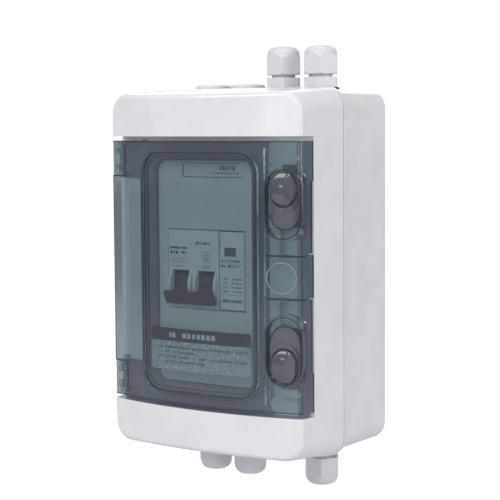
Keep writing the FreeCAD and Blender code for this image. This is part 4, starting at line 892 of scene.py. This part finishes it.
class COMBINER_OT_prints(bpy.types.Operator):
    """Plain rows of print on the breaker, the surge protector and the plate, and dark lines of painted shadow
    round the plate's label field
    """
    bl_idname = "combiner.prints"
    bl_label = "Device prints"

    def execute(self, context):
        tree = print_rows_tree()
        breaker = [print_block(tree, (x, PRINT_Y, z), size, columns, rows, stroke, seed, fill)
                   for seed, (x, z, size, columns, rows, stroke, fill) in enumerate((
                       (-19.5, 13.6, (10.5, 0.1), 9, 1, 1.3, 1.0),
                       (-19.5, 10.9, (10.0, 0.1), 6, 1, 1.7, 0.8),
                       (-19.0, 6.6, (11.0, 2.6), 7, 3, 0.35, 0.9),
                       (-20.5, 3.0, (8.0, 0.1), 7, 1, 0.7, 0.9),
                       (-2.2, 16.6, (9.0, 0.1), 7, 1, 1.5, 1.0),
                       (0.2, 10.6, (4.2, 1.6), 4, 2, 0.35, 1.0),
                       (0.2, 7.2, (3.4, 2.6), 4, 4, 0.4, 0.8),
                       (0.2, 3.2, (3.8, 1.2), 5, 2, 0.5, 0.9)), start=3)]
        new_piece("breaker_prints", joined("breaker_prints", breaker), finishes["ink"], "enclosure")
        surge = [print_block(tree, (x, PRINT_Y, z), size, columns, rows, stroke, seed, fill)
                 for seed, (x, z, size, columns, rows, stroke, fill) in enumerate((
                     (17.0, 7.4, (11.5, 0.1), 10, 1, 1.2, 1.0),
                     (16.6, 4.3, (11.0, 0.1), 8, 1, 1.3, 0.9),
                     (17.6, 5.7, (12.5, 0.1), 3, 1, 0.2, 1.0),
                     (13.0, -6.4, (2.4, 7.0), 3, 4, 0.8, 0.9),
                     (21.4, -6.4, (5.4, 7.0), 5, 4, 0.8, 0.85),
                     (17.6, -11.9, (12.5, 0.1), 3, 1, 0.2, 1.0),
                     (18.2, -15.4, (12.5, 0.1), 12, 1, 1.7, 1.0)), start=31)]
        new_piece("cartridge_prints", joined("cartridge_prints", surge), finishes["ink"], "surge_cartridge")
        plate = [print_block(tree, (x, PLATE_Y, z), size, columns, 1, stroke, seed, 1.0)
                 for seed, (x, z, size, columns, stroke) in enumerate((
                     (14.6, 59.6, (9.0, 0.1), 5, 2.3), (13.2, 56.7, (18.0, 0.1), 16, 0.8)), start=51)]
        new_piece("panel_prints", joined("panel_prints", plate), finishes["ink"], "enclosure")
        # the label field's edges get painted shadow lines in ink
        bm = bmesh.new()
        for x0, x1, z0, z1 in FIELD_SHADOW_LINES:
            corners = [(x0, z0), (x1, z0), (x1, z1), (x0, z1)]
            front = [bm.verts.new((x * MM, (PLATE_Y - 0.05) * MM, z * MM)) for x, z in corners]
            back = [bm.verts.new((x * MM, PLATE_Y * MM, z * MM)) for x, z in corners]
            bm.faces.new(front)
            bm.faces.new(back[::-1])
            for k in range(4):
                n = (k + 1) % 4
                bm.faces.new((front[k], front[n], back[n], back[k]))
        new_piece("panel_field_painted_shadows", mesh_from(bm, "panel_field_painted_shadows"), finishes["ink"], "enclosure")
        return {"FINISHED"}


class COMBINER_OT_label(bpy.types.Operator):
    """Clear film with a dark band on the inside of the door"""
    bl_idname = "combiner.label"
    bl_label = "Door label"

    def execute(self, context):
        low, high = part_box("door_label")
        split = high.z - context.scene.combiner_box.band_height
        film = bowed_sheet("door_label_film", (low.x, low.z), (high.x, split), LABEL_DEPTH,
                           LABEL_THICKNESS, (0.0, LABEL_CORNER))
        new_piece("door_label_film", film, finishes["bubbled_film"], "door", ("door_label",))
        band = bowed_sheet("door_label_band", (low.x, split), (high.x, high.z), LABEL_DEPTH,
                           LABEL_THICKNESS, (LABEL_CORNER, 0.0))
        new_piece("door_label_band", band, finishes["band_ink"], "door")
        tree = print_rows_tree()
        x0, middle = low.x / MM, split / MM
        dark = [print_block(tree, (x, 0.0, z), size, columns, 1, stroke, seed, 0.92)
                for seed, (x, z, size, columns, stroke) in enumerate((
                    (2.0, middle - 3.4, (62.0, 0.1), 34, 1.2),
                    (-12.0, middle - 6.2, (22.0, 0.1), 12, 1.2),
                    (2.5, middle - 9.0, (60.0, 0.1), 32, 1.2),
                    (-9.0, middle - 11.8, (26.0, 0.1), 13, 1.2)), start=71)]
        pale = [print_block(tree, (x, 0.0, z), size, columns, 1, stroke, seed, 1.0)
                for seed, (x, z, size, columns, stroke) in enumerate((
                    (-18.0, middle + 3.7, (2.6, 0.1), 2, 2.8),
                    (1.0, middle + 3.7, (20.0, 0.1), 7, 2.8)), start=91)]
        for name, meshes, ink in (("door_label_lines", dark, "ink"),
                                  ("door_label_heading", pale, "pale_ink")):
            mesh = joined(name, meshes)
            for vertex in mesh.vertices:
                vertex.co.y += bow_y(vertex.co.x, LABEL_DEPTH - 0.03 * MM)
            new_piece(name, mesh, finishes[ink], "door")
        return {"FINISHED"}


class COMBINER_OT_handle(bpy.types.Operator):
    """The breaker's two toggles and the bar that ties them, with rounded edges"""
    bl_idname = "combiner.handle"
    bl_label = "Breaker handle"

    def execute(self, context):
        width = context.scene.combiner_box.toggle_edge
        for part in ("left", "right", "tie_bar"):
            smooth_node("breaker_toggle_" + part, "handle_" + part, finishes["toggle_black"], width)
        return {"FINISHED"}


class COMBINER_OT_carried(bpy.types.Operator):
    """Finishes for the CAD parts that are shown as they are"""
    bl_idname = "combiner.carried"
    bl_label = "Carried parts"

    def execute(self, context):
        for cad in frame["nodes"].values():
            for holder in cad.material_slots:
                if holder.material.name in finishes:
                    holder.material = finishes[holder.material.name]
        return {"FINISHED"}


class COMBINER_PT_panel(bpy.types.Panel):
    """The settings, and a button for each operator"""
    bl_label = "Combiner box"
    bl_idname = "COMBINER_PT_panel"
    bl_space_type = "VIEW_3D"
    bl_region_type = "UI"
    bl_category = "Combiner box"

    def draw(self, context):
        settings = context.scene.combiner_box
        for name in settings.bl_rna.properties.keys():
            if name not in ("rna_type", "name"):
                self.layout.prop(settings, name)
        for operator in OPERATORS:
            self.layout.operator(operator.bl_idname)


OPERATORS = (COMBINER_OT_studio, COMBINER_OT_enclosure, COMBINER_OT_door, COMBINER_OT_latches,
             COMBINER_OT_label, COMBINER_OT_prints, COMBINER_OT_handle, COMBINER_OT_carried)
CLASSES = (CombinerBoxSettings,) + OPERATORS + (COMBINER_PT_panel,)


def register():
    for cls in CLASSES:
        bpy.utils.register_class(cls)
    bpy.types.Scene.combiner_box = bpy.props.PointerProperty(type=CombinerBoxSettings)


def unregister():
    del bpy.types.Scene.combiner_box
    for cls in reversed(CLASSES):
        bpy.utils.unregister_class(cls)


def main():
    """Registers the add-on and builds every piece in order."""
    register()
    finishes.update(make_materials(bpy.context.scene.combiner_box))
    bpy.ops.combiner.studio()
    bpy.ops.combiner.enclosure()
    bpy.ops.combiner.door()
    bpy.ops.combiner.latches()
    bpy.ops.combiner.label()
    bpy.ops.combiner.prints()
    bpy.ops.combiner.handle()
    bpy.ops.combiner.carried()


if __name__ == "__main__":
    main()
